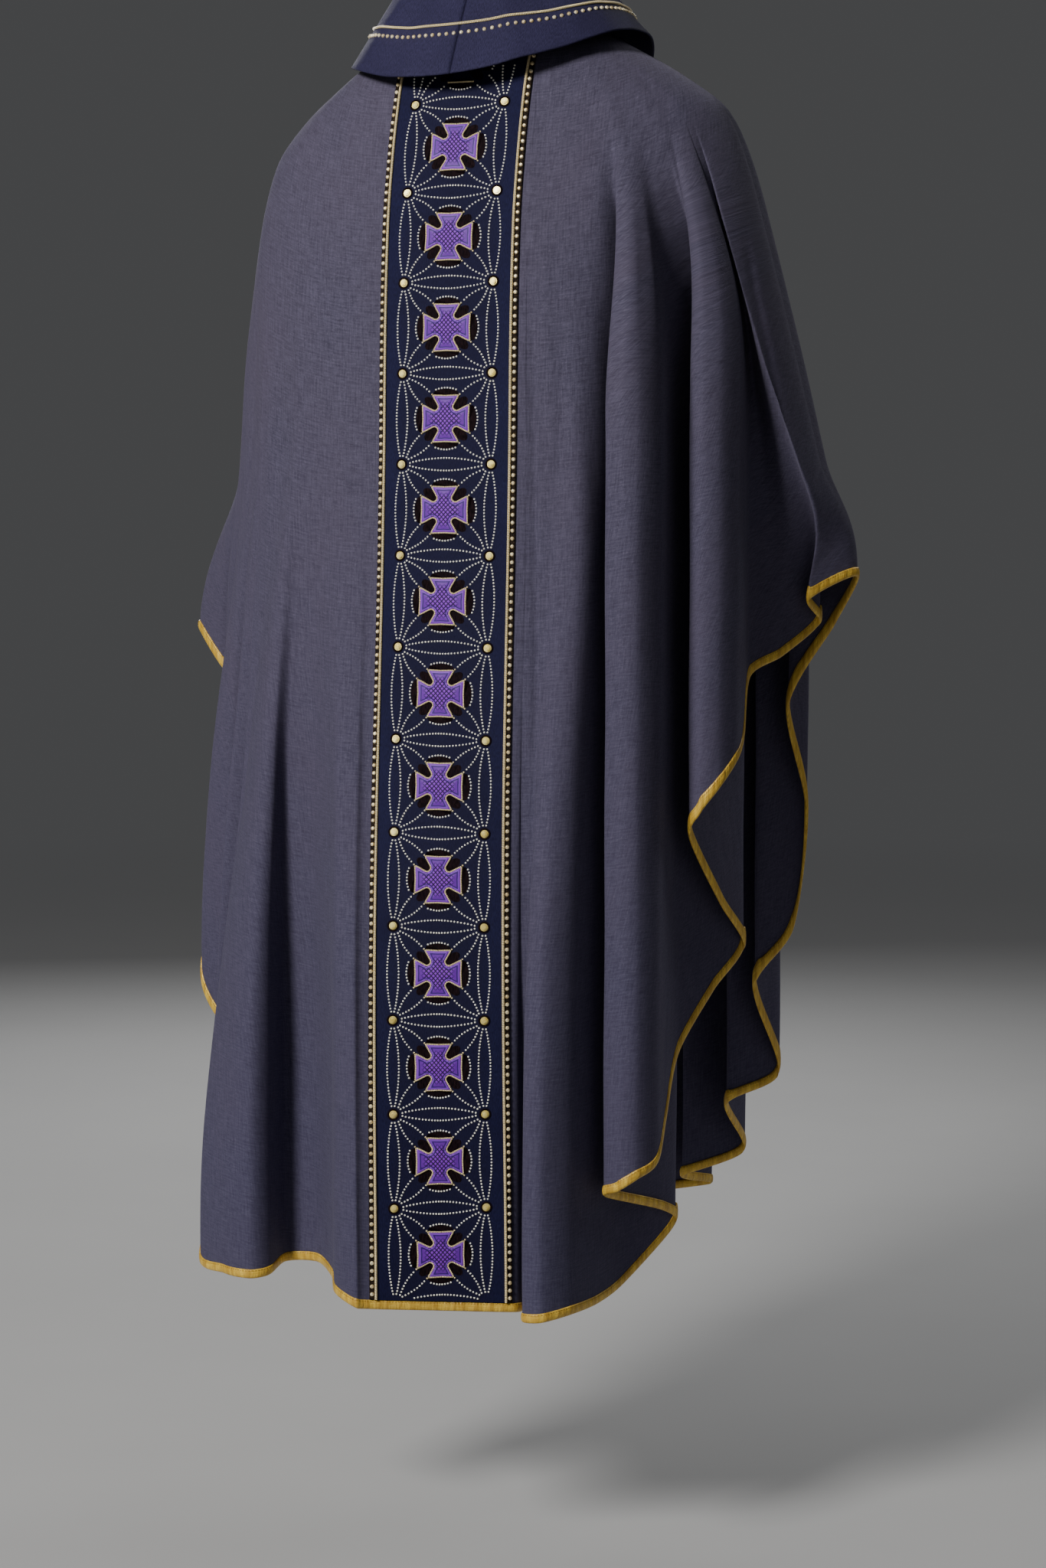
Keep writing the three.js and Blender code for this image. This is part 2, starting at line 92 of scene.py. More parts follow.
TURNS = [
    ("back_centre", 1, 0, 1, -14, 206, -1236, -500, -1235),
    ("band_right", 1, 0.2333, 1, -76, 177, -1239, -500, -1239),
    ("r1_gutter", 1, 0.265, 1, -82, 156, -1242, -620, -1200),
    ("r1_deep", 1, 0.29, 1, -98, 157, -1243, -620, -1200),
    ("r1_edge", 1, 0.315, 1, -91, 190, -1244, -560, -1150),
    ("r1_crest", 1, 0.35, 1, -112, 196, -1242, -420, -1100),
    ("r1_mid", 1, 0.4, 1, -132, 169, -1239, -260, -1000),
    ("r1_flank", 1, 0.46, 1, -143, 116, -1239, -140, -700),
    ("r1_side", 1, 0.51, 1, -154, 67, -1229, -130, -520),
    ("r1_pocket", 1, 0.545, 1, -184, 3, -1184, -125, -430),
    ("r1_return", 1, 0.565, 1, -183, 31, -1162, -118, -410),
    ("r2_edge", 1, 0.585, 1, -155, 131, -1130, -105, -385),
    ("r2_crest", 1, 0.605, 1, -173, 148, -1120, -100, -380),
    ("r2_mid", 1, 0.63, 1, -191, 143, -1108, -100, -380),
    ("r2_round", 1, 0.66, 1, -202, 116, -1097, -100, -390),
    ("r2_flank", 1, 0.69, 1, -198, 75, -1062, -105, -400),
    ("r2_back", 1, 0.72, 1, -198, 34, -1003, -115, -425),
    ("r2_deep", 1, 0.745, 1, -219, -14, -947, -118, -425),
    ("r3_pocket", 1, 0.77, 1, -240, -47, -907, -118, -425),
    ("r3_return", 1, 0.785, 1, -231, 5, -857, -112, -415),
    ("r3_edge", 1, 0.8, 1, -217, 64, -787, -95, -345),
    ("r3_crest", 1, 0.815, 1, -232, 78, -761, -90, -335),
    ("r3_mid", 1, 0.835, 1, -249, 69, -737, -85, -330),
    ("r3_round", 1, 0.855, 1, -259, 44, -713, -86, -334),
    ("r3_back", 1, 0.87, 1, -257, 13, -693, -112, -352),
    ("r4_gutter", 1, 0.89, 1, -252, -24, -635, -104, -380),
    ("r4_mid", 1, 0.93, 1, -275, -62, -615, -250, -600),
    ("r4_corner", 1, 0.96, 1, -301, -101, -585, -380, -583),
    ("r4_turn", 1, 0.98, 1, -300, -64, -560, -440, -557),
    ("tip_right", 1, 1, 1, -338, -108, -537, -420, -536),
    ("fr_sleeve", 1, 0.96, -1, -307, -144, -585, -400, -580),
    ("fr_gutter_1", 1, 0.9, -1, -257, -149, -672, -150, -560),
    ("fr_crest_1", 1, 0.84, -1, -267, -189, -783, -150, -560),
    ("fr_round_1", 1, 0.79, -1, -252, -194, -904, -150, -580),
    ("fr_gutter_2", 1, 0.74, -1, -217, -170, -966, -150, -600),
    ("fr_crest_2", 1, 0.67, -1, -227, -231, -1065, -180, -700),
    ("fr_gutter_3", 1, 0.58, -1, -181, -192, -1095, -180, -700),
    ("fr_crest_3", 1, 0.49, -1, -176, -276, -1161, -200, -800),
    ("fr_gutter_4", 1, 0.38, -1, -119, -236, -1185, -220, -900),
    ("fr_crest_4", 1, 0.26, -1, -126, -318, -1209, -240, -900),
    ("fr_gutter_5", 1, 0.13, -1, -39, -240, -1211, -260, -1000),
    ("front_centre", 1, 0, -1, 3, -296, -1214, -300, -1050),
    ("fl_gutter_5", -1, 0.13, -1, 47, -236, -1212, -280, -1000),
    ("fl_crest_4", -1, 0.25, -1, 99, -303, -1206, -240, -900),
    ("fl_gutter_4", -1, 0.36, -1, 127, -233, -1184, -220, -900),
    ("fl_crest_3", -1, 0.47, -1, 178, -272, -1150, -200, -800),
    ("fl_gutter_3", -1, 0.57, -1, 190, -195, -1098, -180, -700),
    ("fl_crest_2", -1, 0.67, -1, 247, -217, -1040, -180, -700),
    ("fl_gutter_2", -1, 0.76, -1, 232, -152, -930, -150, -600),
    ("fl_crest_1", -1, 0.84, -1, 294, -159, -830, -150, -560),
    ("fl_gutter_1", -1, 0.9, -1, 279, -105, -740, -150, -560),
    ("fl_sleeve", -1, 0.96, -1, 334, -98, -660, -380, -640),
    ("tip_left", -1, 1, 1, 359, -52, -597, -400, -596),
    ("l5_flank", -1, 0.98, 1, 324, -29, -634, -400, -630),
    ("l4_gutter", -1, 0.95, 1, 278, -44, -690, -380, -680),
    ("l4_crest", -1, 0.925, 1, 307, -7, -770, -420, -760),
    ("l3_pocket", -1, 0.895, 1, 261, -5, -860, -420, -840),
    ("l3_crest", -1, 0.865, 1, 313, 44, -947, -460, -920),
    ("l3_flank", -1, 0.835, 1, 273, 67, -1006, -440, -960),
    ("l2_pocket", -1, 0.81, 1, 230, 46, -1046, -420, -960),
    ("l2_small", -1, 0.785, 1, 272, 101, -1069, -480, -1060),
    ("l2_back", -1, 0.76, 1, 224, 94, -1130, -440, -1060),
    ("l2_side", -1, 0.73, 1, 271, 141, -1220, -620, -1210),
    ("l2_round", -1, 0.68, 1, 229, 177, -1226, -500, -1180),
    ("l2_crest", -1, 0.63, 1, 196, 188, -1226, -400, -1100),
    ("l2_edge", -1, 0.59, 1, 182, 171, -1225, -360, -1050),
    ("l1_gutter", -1, 0.54, 1, 181, 132, -1220, -330, -1050),
    ("l1_deep", -1, 0.47, 1, 146, 136, -1217, -330, -1050),
    ("l1_back", -1, 0.4, 1, 112, 177, -1221, -360, -1100),
    ("l1_edge", -1, 0.345, 1, 87, 227, -1223, -400, -1150),
    ("l1_crest", -1, 0.29, 1, 59, 247, -1229, -450, -1200),
    ("band_left", -1, 0.2333, 1, 47, 238, -1232, -500, -1231),
]
COLLAR = [  # reach to the side, back and front (toward -Y), then the heights there
    (107, 88, -102, -6, -18, -52),
    (94, 74, -89, 14, 4, -33),
    (88, 68, -86, 35, 25, -15),
    (91, 71, -90, 47, 37, -5),
    (98, 78, -98, 50, 40, -3),
    (106, 87, -108, 42, 31, -10),
    (120, 102, -126, 22, 8, -34),
    (134, 121, -146, 2, -22, -60),
    (149, 141, -166, -18, -56, -92),
]
COLLAR_LAST = len(COLLAR) - 1
COUNT = len(TURNS)
NAMES = [row[0] for row in TURNS]
TIP_RIGHT, TIP_LEFT = NAMES.index("tip_right"), NAMES.index("tip_left")
FRONT_CENTRE = NAMES.index("front_centre")
print(COUNT, "turns,", len(LEVELS), "levels,", len(COLLAR), "collar rows")

# %% [markdown]
# ## The drape
# A chasuble is two half-rounds of cloth that hang from the neck and shoulders. Cloth simulation
# could drop such a pattern, but it would never land on the photographed folds. So the drape is
# worked out: `cloth(u, z)` gives the cloth's outer face on ray u at height z. High up it is the
# smooth form of LEVELS, and lower down it eases toward the fold that TURNS gives for the hem.


# %% Smooth steps between the levels
def hermite(a, b, ma, mb, f):
    """A smooth step from a to b with slopes ma and mb; f runs from 0 to 1."""
    g = 1 - f
    return a * (1 + 2 * f) * g * g + ma * f * g * g + b * f * f * (3 - 2 * f) + mb * f * f * (f - 1)


levels = np.array(LEVELS[::-1], float)
LEVEL_Z = levels[:, 0]


def slopes(values):
    """Slopes at the levels that never let the form swing past a level."""
    gap = np.diff(LEVEL_Z)
    rise = np.diff(values) / gap
    out = np.empty(len(values))
    out[0], out[-1] = rise[0], rise[-1]
    for i in range(1, len(values) - 1):
        if rise[i - 1] * rise[i] <= 0:
            out[i] = 0
            continue
        a, b = 2 * gap[i] + gap[i - 1], gap[i] + 2 * gap[i - 1]
        out[i] = (a + b) / (a / rise[i - 1] + b / rise[i])
    return out


LEVEL = {key: levels[:, k] for k, key in enumerate(LEVEL_COLUMNS)}
SLOPE = {key: slopes(LEVEL[key]) for key in LEVEL_COLUMNS[1:]}


def level(key, z):
    """One column of LEVELS, smooth between its rows."""
    z = np.clip(z, DEEPEST, 0)
    i = np.clip(np.searchsorted(LEVEL_Z, z, side="right") - 1, 0, len(LEVEL_Z) - 2)
    gap = LEVEL_Z[i + 1] - LEVEL_Z[i]
    v, m = LEVEL[key], SLOPE[key]
    return hermite(v[i], v[i + 1], m[i] * gap, m[i + 1] * gap, (z - LEVEL_Z[i]) / gap)


# %% Places round the garment
def around(row):
    """A turn's place on its way round, in quarters of a circle from the centre back."""
    _, side, across, face = row[:4]
    quarter = math.asin(across) / (math.pi / 2)
    if side > 0:
        return quarter if face > 0 else 2 - quarter
    return 4 - quarter if face > 0 else 2 + quarter


PLACE_COLUMNS = TURN_COLUMNS[4:]
COLUMN = {key: np.array([row[k + 4] for row in TURNS], float) for k, key in enumerate(PLACE_COLUMNS)}
AROUND = np.array([around(row) for row in TURNS])


def through(values, u, wrap=0.0, soft=0.85):
    """A smooth closed curve through one value for each turn; wrap is what a whole round adds."""
    i = np.floor(u).astype(int)

    def at(k):
        return values[k % COUNT] + wrap * np.floor_divide(k, COUNT)

    a, b, c, d = at(i - 1), at(i), at(i + 1), at(i + 2)
    return hermite(b, c, (c - a) / 2 * soft, (d - b) / 2 * soft, u - i)


def turn_value(key, u):
    return through(COLUMN[key], u)


def quarter_of(u):
    """Side (1 is right), face (1 is back), share across, and how far toward the back."""
    a = through(AROUND, u, 4.0, 0.9) % 4
    side = np.where(a < 2, 1.0, -1.0)
    face = np.where((a < 1) | (a >= 3), 1.0, -1.0)
    fold = np.select([a < 1, a < 2, a < 3], [a, 2 - a, a - 2], 4 - a)
    return side, face, np.sin(fold * math.pi / 2), np.cos(a * math.pi / 2)


# %% The smooth form under the folds
NECK_SIDE_Z, NECK_BACK_DROP, NECK_FRONT_DROP = -6, 12, 46


def neck_height(u):
    """Height of the neck opening's edge."""
    turned = quarter_of(u)[3]
    return NECK_SIDE_Z - np.where(turned > 0, NECK_BACK_DROP, NECK_FRONT_DROP) * turned**2


def form(u, z):
    """The smooth form under the folds: an oval at each height, whose power makes it squarer."""
    side, face, share, _ = quarter_of(u)
    half = np.where(side > 0, level("right", z), level("left", z))
    side_y = np.where(side > 0, level("rightY", z), level("leftY", z))
    band_share, band_neck = BAND_HALF / FALL_HALF, BAND_HALF / NECK_HALF
    neck = np.where(
        share < band_share,
        share / band_share * band_neck,
        band_neck + (share - band_share) / (1 - band_share) * (1 - band_neck),
    )
    upward = (1 / half - 1 / FALL_HALF) / (1 / NECK_HALF - 1 / FALL_HALF)
    f = np.clip(share + (neck - share) * upward, 0, 1)
    p = level("square", z)
    depth = np.where(face > 0, level("back", z), level("front", z))
    return -side * half * f, side_y * f**p + depth * np.maximum(0, 1 - f**p) ** (1 / p)


# %% The cloth with its folds
def ease(x):
    k = np.clip(x, 0, 1)
    return k * k * (3 - 2 * k)


SHORTEST_RUN = 60  # a fold takes at least this height to form


def cloth(u, z):
    """The cloth's outer face on ray u at height z."""
    u, z = np.broadcast_arrays(np.asarray(u, float), np.asarray(z, float))
    x, y = form(u, z)
    start = turn_value("start", u)
    run = np.maximum(SHORTEST_RUN, start - turn_value("full", u))
    most = ease((start - turn_value("z", u)) / run)
    grown = np.minimum(1, ease((start - z) / run) / most)
    return np.stack(
        [x + (turn_value("x", u) - x) * grown, y + (turn_value("y", u) - y) * grown, z], axis=-1
    )


print("centre back, neck and hem", cloth(0, -18).round(0), cloth(0, -1235).round(0), "mm")


# %% Normals
def unit(v):
    return v / np.maximum(1e-9, np.linalg.norm(v, axis=-1, keepdims=True))


def facing(surface, u, z, du=0.05, dz=2.0):
    """The surface's outward normal."""
    across = surface(u + du, z) - surface(u - du, z)
    up = surface(u, np.minimum(-1, z + dz)) - surface(u, z - dz)
    return unit(np.cross(across, up))


# %% [markdown]
# ## Creases
# Real cloth also has shallow troughs and ridges between its large folds. A displace modifier with
# noise would scatter them evenly, so each one is placed one by one instead. Each row runs from one
# ray and height to another. Its depth is in millimetres (minus is a trough), its width in turns.

# %% Creases
CREASES = [  # u_top, z_top, u_low, z_low, deep, wide
    (2.6, -230, 3.6, -900, -1.6, 0.55),
    (4.4, -180, 5.2, -760, 1.3, 0.6),
    (6.6, -150, 6.9, -520, -1.8, 0.5),
    (8.2, -140, 8.5, -420, 1.5, 0.6),
    (13.4, -160, 12.6, -520, -1.8, 0.6),
    (14.6, -200, 14.2, -760, 1.3, 0.5),
    (18.5, -190, 17.6, -560, -1.4, 0.6),
    (21.2, -170, 20.6, -470, 1.4, 0.5),
    (24.6, -210, 23.4, -520, -2.0, 0.7),
    (26.3, -240, 25.2, -560, 1.6, 0.6),
    (27.2, -180, 26.6, -420, -1.5, 0.5),
    (-3.4, -260, -3.2, -980, 1.6, 0.5),
    (-5.4, -200, -4.6, -820, -1.8, 0.6),
    (-7.6, -150, -6.8, -640, 1.5, 0.6),
    (-9.8, -170, -8.6, -560, -1.6, 0.7),
    (-12.6, -190, -11.2, -700, 1.4, 0.6),
    (-15.4, -180, -13.8, -600, -1.8, 0.8),
    (-17.8, -220, -16.4, -640, 1.5, 0.7),
    (-19.0, -160, -18.2, -480, -1.3, 0.5),
    (30.4, -200, 31.0, -620, -2.0, 0.4),
    (32.4, -180, 32.6, -700, 1.8, 0.4),
    (34.5, -230, 34.2, -820, -1.7, 0.4),
    (36.5, -260, 36.4, -940, 1.4, 0.35),
    (38.6, -240, 38.8, -860, -1.8, 0.4),
    (41.4, -200, 41.2, -760, 1.7, 0.4),
    (44.3, -190, 44.0, -640, -1.9, 0.45),
    (47.4, -210, 47.2, -560, 1.4, 0.4),
]


# %% Height of the creases
WANDER = 0.12  # how far a crease strays from its straight line, in turns
FADE_IN, FADE_OUT = 3.2, 2.6  # how soon it is full, and how late it begins to fade
RIPPLE = 0.7  # the low ripples all over the cloth
BAND_CLEAR, BAND_EASE = 1.15, 0.8  # in turns: the cloth stays smooth under the band


def crease(u, z):
    """Height of the creases over the drape."""
    total = np.zeros_like(z)
    for u_top, z_top, u_low, z_low, deep, wide in CREASES:
        f = (z_top - z) / (z_top - z_low)
        line = u_top + (u_low - u_top) * f + WANDER * np.sin(f * 7 + u_top)
        off = (u - line + COUNT / 2) % COUNT - COUNT / 2
        along = ease(f * FADE_IN) * ease((1 - f) * FADE_OUT)
        total += deep * along * np.exp(-((off / wide) ** 2))
    turn = 2 * math.pi * u / COUNT
    total += RIPPLE * np.sin(9 * turn + z / 90) * np.sin(z / 61 + 3 * turn) * ease(-z / 120)
    clear = (u + COUNT / 2) % COUNT - COUNT / 2
    return total * ease((np.abs(clear) - BAND_CLEAR) / BAND_EASE)


def skin(u, z):
    """The drape with its creases."""
    u, z = np.broadcast_arrays(np.asarray(u, float), np.asarray(z, float))
    return cloth(u, z) + facing(cloth, u, z) * crease(u, z)[..., None]


# %% Width along a steep hem
STEEPEST = 2.2


def slant(u):
    """How much height a strip along the hem needs to keep its width where the hem is steep."""
    a = cloth(u - 0.1, turn_value("z", u - 0.1))
    b = cloth(u + 0.1, turn_value("z", u + 0.1))
    flat = np.hypot(b[..., 0] - a[..., 0], b[..., 1] - a[..., 1])
    return np.minimum(STEEPEST, np.hypot(1, (b[..., 2] - a[..., 2]) / np.maximum(flat, 1)))


print(len(CREASES), "creases, up to", max(abs(row[4]) for row in CREASES), "mm deep")

# %% [markdown]
# ## Mesh helpers
# A sheet is a grid of points, stored column by column. `add_mesh` makes a mesh from arrays in one
# go, which is far quicker than adding faces one at a time, and lets the piece ride on the body.
# Every sheet also gets its own cloth coordinates, so that its weave follows it round the folds.


# %% Mesh helpers
def grid_faces(wide, high, closed=False):
    """Quads between points that are stored column by column; closed joins the last row to the first."""
    i, j = np.meshgrid(np.arange(wide - 1), np.arange(high if closed else high - 1), indexing="ij")
    k = (j + 1) % high
    return np.stack([i * high + j, i * high + k, (i + 1) * high + k, (i + 1) * high + j], -1).reshape(-1, 4)


def add_mesh(name, points, faces, material, uv=None, mask=None):
    """points in mm; faces is an array, or a list of arrays with 3 or 4 corners each."""
    groups = faces if isinstance(faces, list) else [faces]
    mesh = bpy.data.meshes.new(name)
    points = np.asarray(points, float).reshape(-1, 3)
    corners = np.concatenate([g.ravel() for g in groups]).astype(np.int32)
    sizes = np.concatenate([np.full(len(g), g.shape[1]) for g in groups]).astype(np.int32)
    starts = np.concatenate([[0], np.cumsum(sizes)[:-1]]).astype(np.int32)
    mesh.vertices.add(len(points))
    mesh.vertices.foreach_set("co", (points * MM).astype(np.float32).ravel())
    mesh.loops.add(len(corners))
    mesh.loops.foreach_set("vertex_index", corners)
    mesh.polygons.add(len(sizes))
    mesh.polygons.foreach_set("loop_start", starts)
    mesh.polygons.foreach_set("use_smooth", np.ones(len(sizes), bool))
    mesh.update(calc_edges=True)
    if uv is not None:
        layer = mesh.uv_layers.new(name="cloth")
        flat = np.asarray(uv, float).reshape(-1, 2)[corners]
        layer.data.foreach_set("uv", flat.astype(np.float32).ravel())
    if mask is not None:
        attribute = mesh.attributes.new("mask", "FLOAT", "POINT")
        attribute.data.foreach_set("value", np.asarray(mask, np.float32).ravel())
    mesh.validate()
    mesh.materials.append(material)
    piece = bpy.data.objects.new(name, mesh)
    bpy.context.scene.collection.objects.link(piece)
    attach(piece, "root")
    return piece


def run_length(points, axis):
    """Length along one axis of a grid of points, from its start."""
    step = np.linalg.norm(np.diff(points, axis=axis), axis=-1)
    pad = [(0, 0), (0, 0)]
    pad[axis] = (1, 0)
    return np.pad(np.cumsum(step, axis=axis), pad)


# %% [markdown]
# ## Materials
# All are procedural, so no picture is needed. Weave and thread run in the cloth's own coordinates,
# in metres, so that a scale of 1000 is one wave in each millimetre or so. A small class keeps the
# node code short: each of its methods adds one kind of node and hands back its output.


# %% Material helpers
class Shader:
    """A small helper round one material's nodes."""

    def __init__(self, name, colour, rough, **sockets):
        self.material = bpy.data.materials.new(name)
        self.material.use_nodes = True
        self.tree = self.material.node_tree
        self.bsdf = self.tree.nodes["Principled BSDF"]
        self.bsdf.inputs["Base Color"].default_value = (*colour, 1)
        self.bsdf.inputs["Roughness"].default_value = rough
        for key, value in sockets.items():
            socket = self.bsdf.inputs[key.replace("_", " ")]
            socket.default_value = (*value, 1) if isinstance(value, tuple) else value

    def node(self, kind, **inputs):
        """Adds a node; an input is given by its name, or as i0, i1 by its number."""
        node = self.tree.nodes.new("ShaderNode" + kind)
        for key, value in inputs.items():
            numbered = key[0] == "i" and key[1:].isdigit()
            self.put(node.inputs[int(key[1:]) if numbered else key], value)
        return node

    def put(self, socket, value):
        if isinstance(value, bpy.types.NodeSocket):
            self.tree.links.new(value, socket)
        else:
            socket.default_value = value

    def place(self, scale, kind="UV", turn=0.0):
        """Cloth (UV) or Object coordinates, scaled and turned."""
        source = self.node("TexCoord").outputs[kind]
        mapping = self.node("Mapping", Vector=source)
        mapping.inputs["Scale"].default_value = scale
        mapping.inputs["Rotation"].default_value = (0, 0, turn)
        return mapping.outputs[0]

    def noise(self, scale, kind="UV", turn=0.0, detail=2.0, rough=0.5):
        where = self.place(scale, kind, turn)
        node = self.node("TexNoise", Vector=where, Scale=1.0, Detail=detail, Roughness=rough)
        return node.outputs["Fac"]

    def wave(self, scale, turn=0.0, distortion=0.0):
        where = self.place(scale, turn=turn)
        node = self.node("TexWave", Vector=where, Scale=1.0, Distortion=distortion)
        return node.outputs["Fac"]

    def math(self, how, a, b=0.5, c=0.5):
        node = self.node("Math", i0=a, i1=b)
        node.operation = how
        if how == "COMPARE":
            self.put(node.inputs[2], c)
        return node.outputs[0]

    def span(self, value, low, high, to_low=0.0, to_high=1.0):
        """Maps low to high onto to_low to to_high, and holds still outside."""
        node = self.node("MapRange", Value=value)
        for key, v in (("From Min", low), ("From Max", high), ("To Min", to_low), ("To Max", to_high)):
            node.inputs[key].default_value = v
        return node.outputs[0]

    def mix(self, fac, a, b):
        """Colour a where fac is 0, colour b where it is 1."""
        node = self.tree.nodes.new("ShaderNodeMix")
        node.data_type = "RGBA"
        self.put(node.inputs[0], fac)
        for socket, value in ((node.inputs[6], a), (node.inputs[7], b)):
            self.put(socket, (*value, 1) if isinstance(value, tuple) else value)
        return node.outputs[2]

    def bump(self, height, strength, distance, under=None):
        node = self.node("Bump", Height=height, Strength=strength, Distance=distance)
        if under is not None:
            self.put(node.inputs["Normal"], under)
        return node.outputs[0]

    def attribute(self, name):
        node = self.tree.nodes.new("ShaderNodeAttribute")
        node.attribute_name = name
        return node.outputs["Fac"]

    def uv(self):
        parts = self.node("SeparateXYZ", Vector=self.node("TexCoord").outputs["UV"])
        return parts.outputs[0], parts.outputs[1]

    def finish(self, colour=None, normal=None, rough=None):
        for key, value in (("Base Color", colour), ("Normal", normal), ("Roughness", rough)):
            if value is not None:
                self.put(self.bsdf.inputs[key], value)
        return self.material


# %% [markdown]
# ## Slate-violet cloth
# A wool cloth of mixed dark and pale violet yarns. Two stretched noises, one along the warp and one
# along the weft, give the short streaks of the yarns, a fine noise gives the specks, and two waves give
# the threads as bump. Toward the hem the tone turns a little bluer.

# %% Slate-violet cloth
def cloth_material():
    s = Shader("heathered_cloth", (0.1, 0.09, 0.14), 0.88, Sheen_Weight=0.1, Sheen_Roughness=0.45,
               Sheen_Tint=(0.62, 0.58, 0.78), Specular_IOR_Level=0.2)
    down = s.noise((620, 46, 1), detail=3, rough=0.62)
    across = s.noise((56, 600, 1), detail=3, rough=0.62)
    speck = s.noise((420, 420, 1), detail=2, rough=0.7)
    broad = s.noise((9, 5, 1), detail=3, rough=0.55)
    thread = s.math("ADD", s.math("MULTIPLY", down, 0.5), s.math("MULTIPLY", across, 0.5))
    tone = s.mix(s.span(thread, 0.36, 0.65), (0.04, 0.036, 0.062), (0.092, 0.084, 0.134))
    tone = s.mix(s.math("MULTIPLY", s.span(speck, 0.56, 0.72), 0.3), tone, (0.19, 0.175, 0.25))
    tone = s.mix(s.math("MULTIPLY", s.span(speck, 0.42, 0.3), 0.35), tone, (0.018, 0.016, 0.03))
    tone = s.mix(s.span(broad, 0.3, 0.7, 0.0, 0.3), tone, (0.085, 0.066, 0.1))
    height = s.node("SeparateXYZ", Vector=s.node("TexCoord").outputs["Object"]).outputs[2]
    tone = s.mix(s.span(height, -0.35, -1.25, 0.0, 0.45), tone, s.mix(0.65, tone, (0.036, 0.038, 0.1)))
    warp = s.wave((3400, 700, 1), distortion=1.2)
    weft = s.wave((700, 3400, 1), turn=math.pi / 2, distortion=1.2)
    weave = s.math("ADD", s.math("MULTIPLY", warp, 0.4), s.math("MULTIPLY", weft, 0.4))
    weave = s.math("ADD", weave, thread)
    normal = s.bump(s.noise((26, 14, 1), detail=3), 0.3, 0.005)
    normal = s.bump(weave, 0.28, 0.0005, normal)
    return s.finish(tone, normal, s.span(thread, 0.3, 0.7, 0.92, 0.78))


# %% [markdown]
# ## Navy satin
# Satin floats its threads on the surface, so its twill runs at a slant and is very fine. One helper
# makes both satins. The band adds a brown braid ground along each side, where the beads are sewn.

# %% Navy satin for the collar and the band
def satin(name, base, light, rough, twill=0.785):
    s = Shader(name, base, rough, Specular_IOR_Level=0.07)
    fine = s.noise((1500, 260, 1), turn=twill, detail=2, rough=0.6)
    broad = s.noise((14, 11, 1), detail=4, rough=0.6)
    tone = s.mix(s.span(fine, 0.35, 0.68), base, light)
    tone = s.mix(s.span(broad, 0.32, 0.72, 0.0, 0.4), tone, tuple(0.62 * c for c in base))
    normal = s.bump(broad, 0.3, 0.006)
    normal = s.bump(s.wave((2600, 0, 1), turn=twill, distortion=0.5), 0.25, 0.0003, normal)
    normal = s.bump(fine, 0.3, 0.0003, normal)
    return s, tone, normal


def band_material():
    s, tone, normal = satin("band_satin", (0.006, 0.006, 0.026), (0.015, 0.016, 0.06), 0.55)
    side = s.math("ABSOLUTE", s.uv()[0])
    strip = s.span(side, 0.0613, 0.0619)
    middle = s.span(side, 0.05, 0.036)
    tone = s.mix(s.math("MULTIPLY", middle, 0.5), tone, (0.009, 0.008, 0.024))
    weave = s.noise((700, 700, 1), detail=2, rough=0.7)
    braid = s.mix(s.span(weave, 0.5, 0.7), (0.007, 0.005, 0.005), (0.085, 0.05, 0.02))
    tone = s.mix(strip, tone, braid)
    normal = s.bump(s.math("MULTIPLY", weave, strip), 0.7, 0.0008, normal)
    return s.finish(tone, normal)


def collar_material():
    s, tone, normal = satin("collar_satin", (0.02, 0.018, 0.044), (0.044, 0.04, 0.096), 0.62)
    return s.finish(tone, normal)


# %% [markdown]
# ## Gold, dots and violet
# The binding is gold satin with puckers where its stitch row pulls, and painted shade darkens its
# colour in the pucker hollows. The cord's twist is a sine of turn and length together, which also
# paints shade in the grooves between its plies and highlight on their crests. Beads and studs read
# Object coordinates, because they are many small pieces in one mesh. The cross reads `mask`, the
# distance from its outline, for its rim lines.

# %% Gold binding satin
STITCH_ROW, STITCH_HALF = 0.0073, 0.0006  # metres: height of the stitch row, half its width
STITCHES = 330.0  # in a metre
STITCH_GAP = 0.35  # part of each stitch's length that lies under the satin
CORD_TWIST = 3800.0  # radians in a metre


def binding_material():
    s = Shader("gold_satin", (0.8, 0.5, 0.04), 0.4, Metallic=0.12, Sheen_Weight=0.15, Sheen_Roughness=0.3,
               Sheen_Tint=(1.0, 0.85, 0.5))
    u, v = s.uv()
    fine = s.noise((90, 2000, 1), detail=2, rough=0.6)
    pucker_and_painted_shade = s.noise((150, 30, 1), detail=3, rough=0.6)
    broad = s.noise((22, 22, 1), detail=2)
    tone = s.mix(s.span(fine, 0.35, 0.7), (0.7, 0.42, 0.025), (1.0, 0.72, 0.12))
    # painted shade: the colour is darker in the hollows of the puckers
    tone = s.mix(s.span(pucker_and_painted_shade, 0.42, 0.6, 0.5, 0.0), tone, (0.3, 0.13, 0.01))
    tone = s.mix(s.span(broad, 0.35, 0.7, 0.0, 0.3), tone, (0.36, 0.17, 0.015))
    row = s.math("COMPARE", s.math("ABSOLUTE", v), STITCH_ROW, STITCH_HALF)
    dash = s.math("GREATER_THAN", s.math("FRACT", s.math("MULTIPLY", u, STITCHES)), STITCH_GAP)
    stitch = s.math("MULTIPLY", row, dash)
    tone = s.mix(s.math("MULTIPLY", stitch, 0.55), tone, (0.25, 0.12, 0.01))
    normal = s.bump(pucker_and_painted_shade, 0.7, 0.003)
    normal = s.bump(s.math("MULTIPLY", stitch, -1.0), 0.5, 0.0006, normal)
    normal = s.bump(fine, 0.25, 0.0003, normal)
    return s.finish(tone, normal)


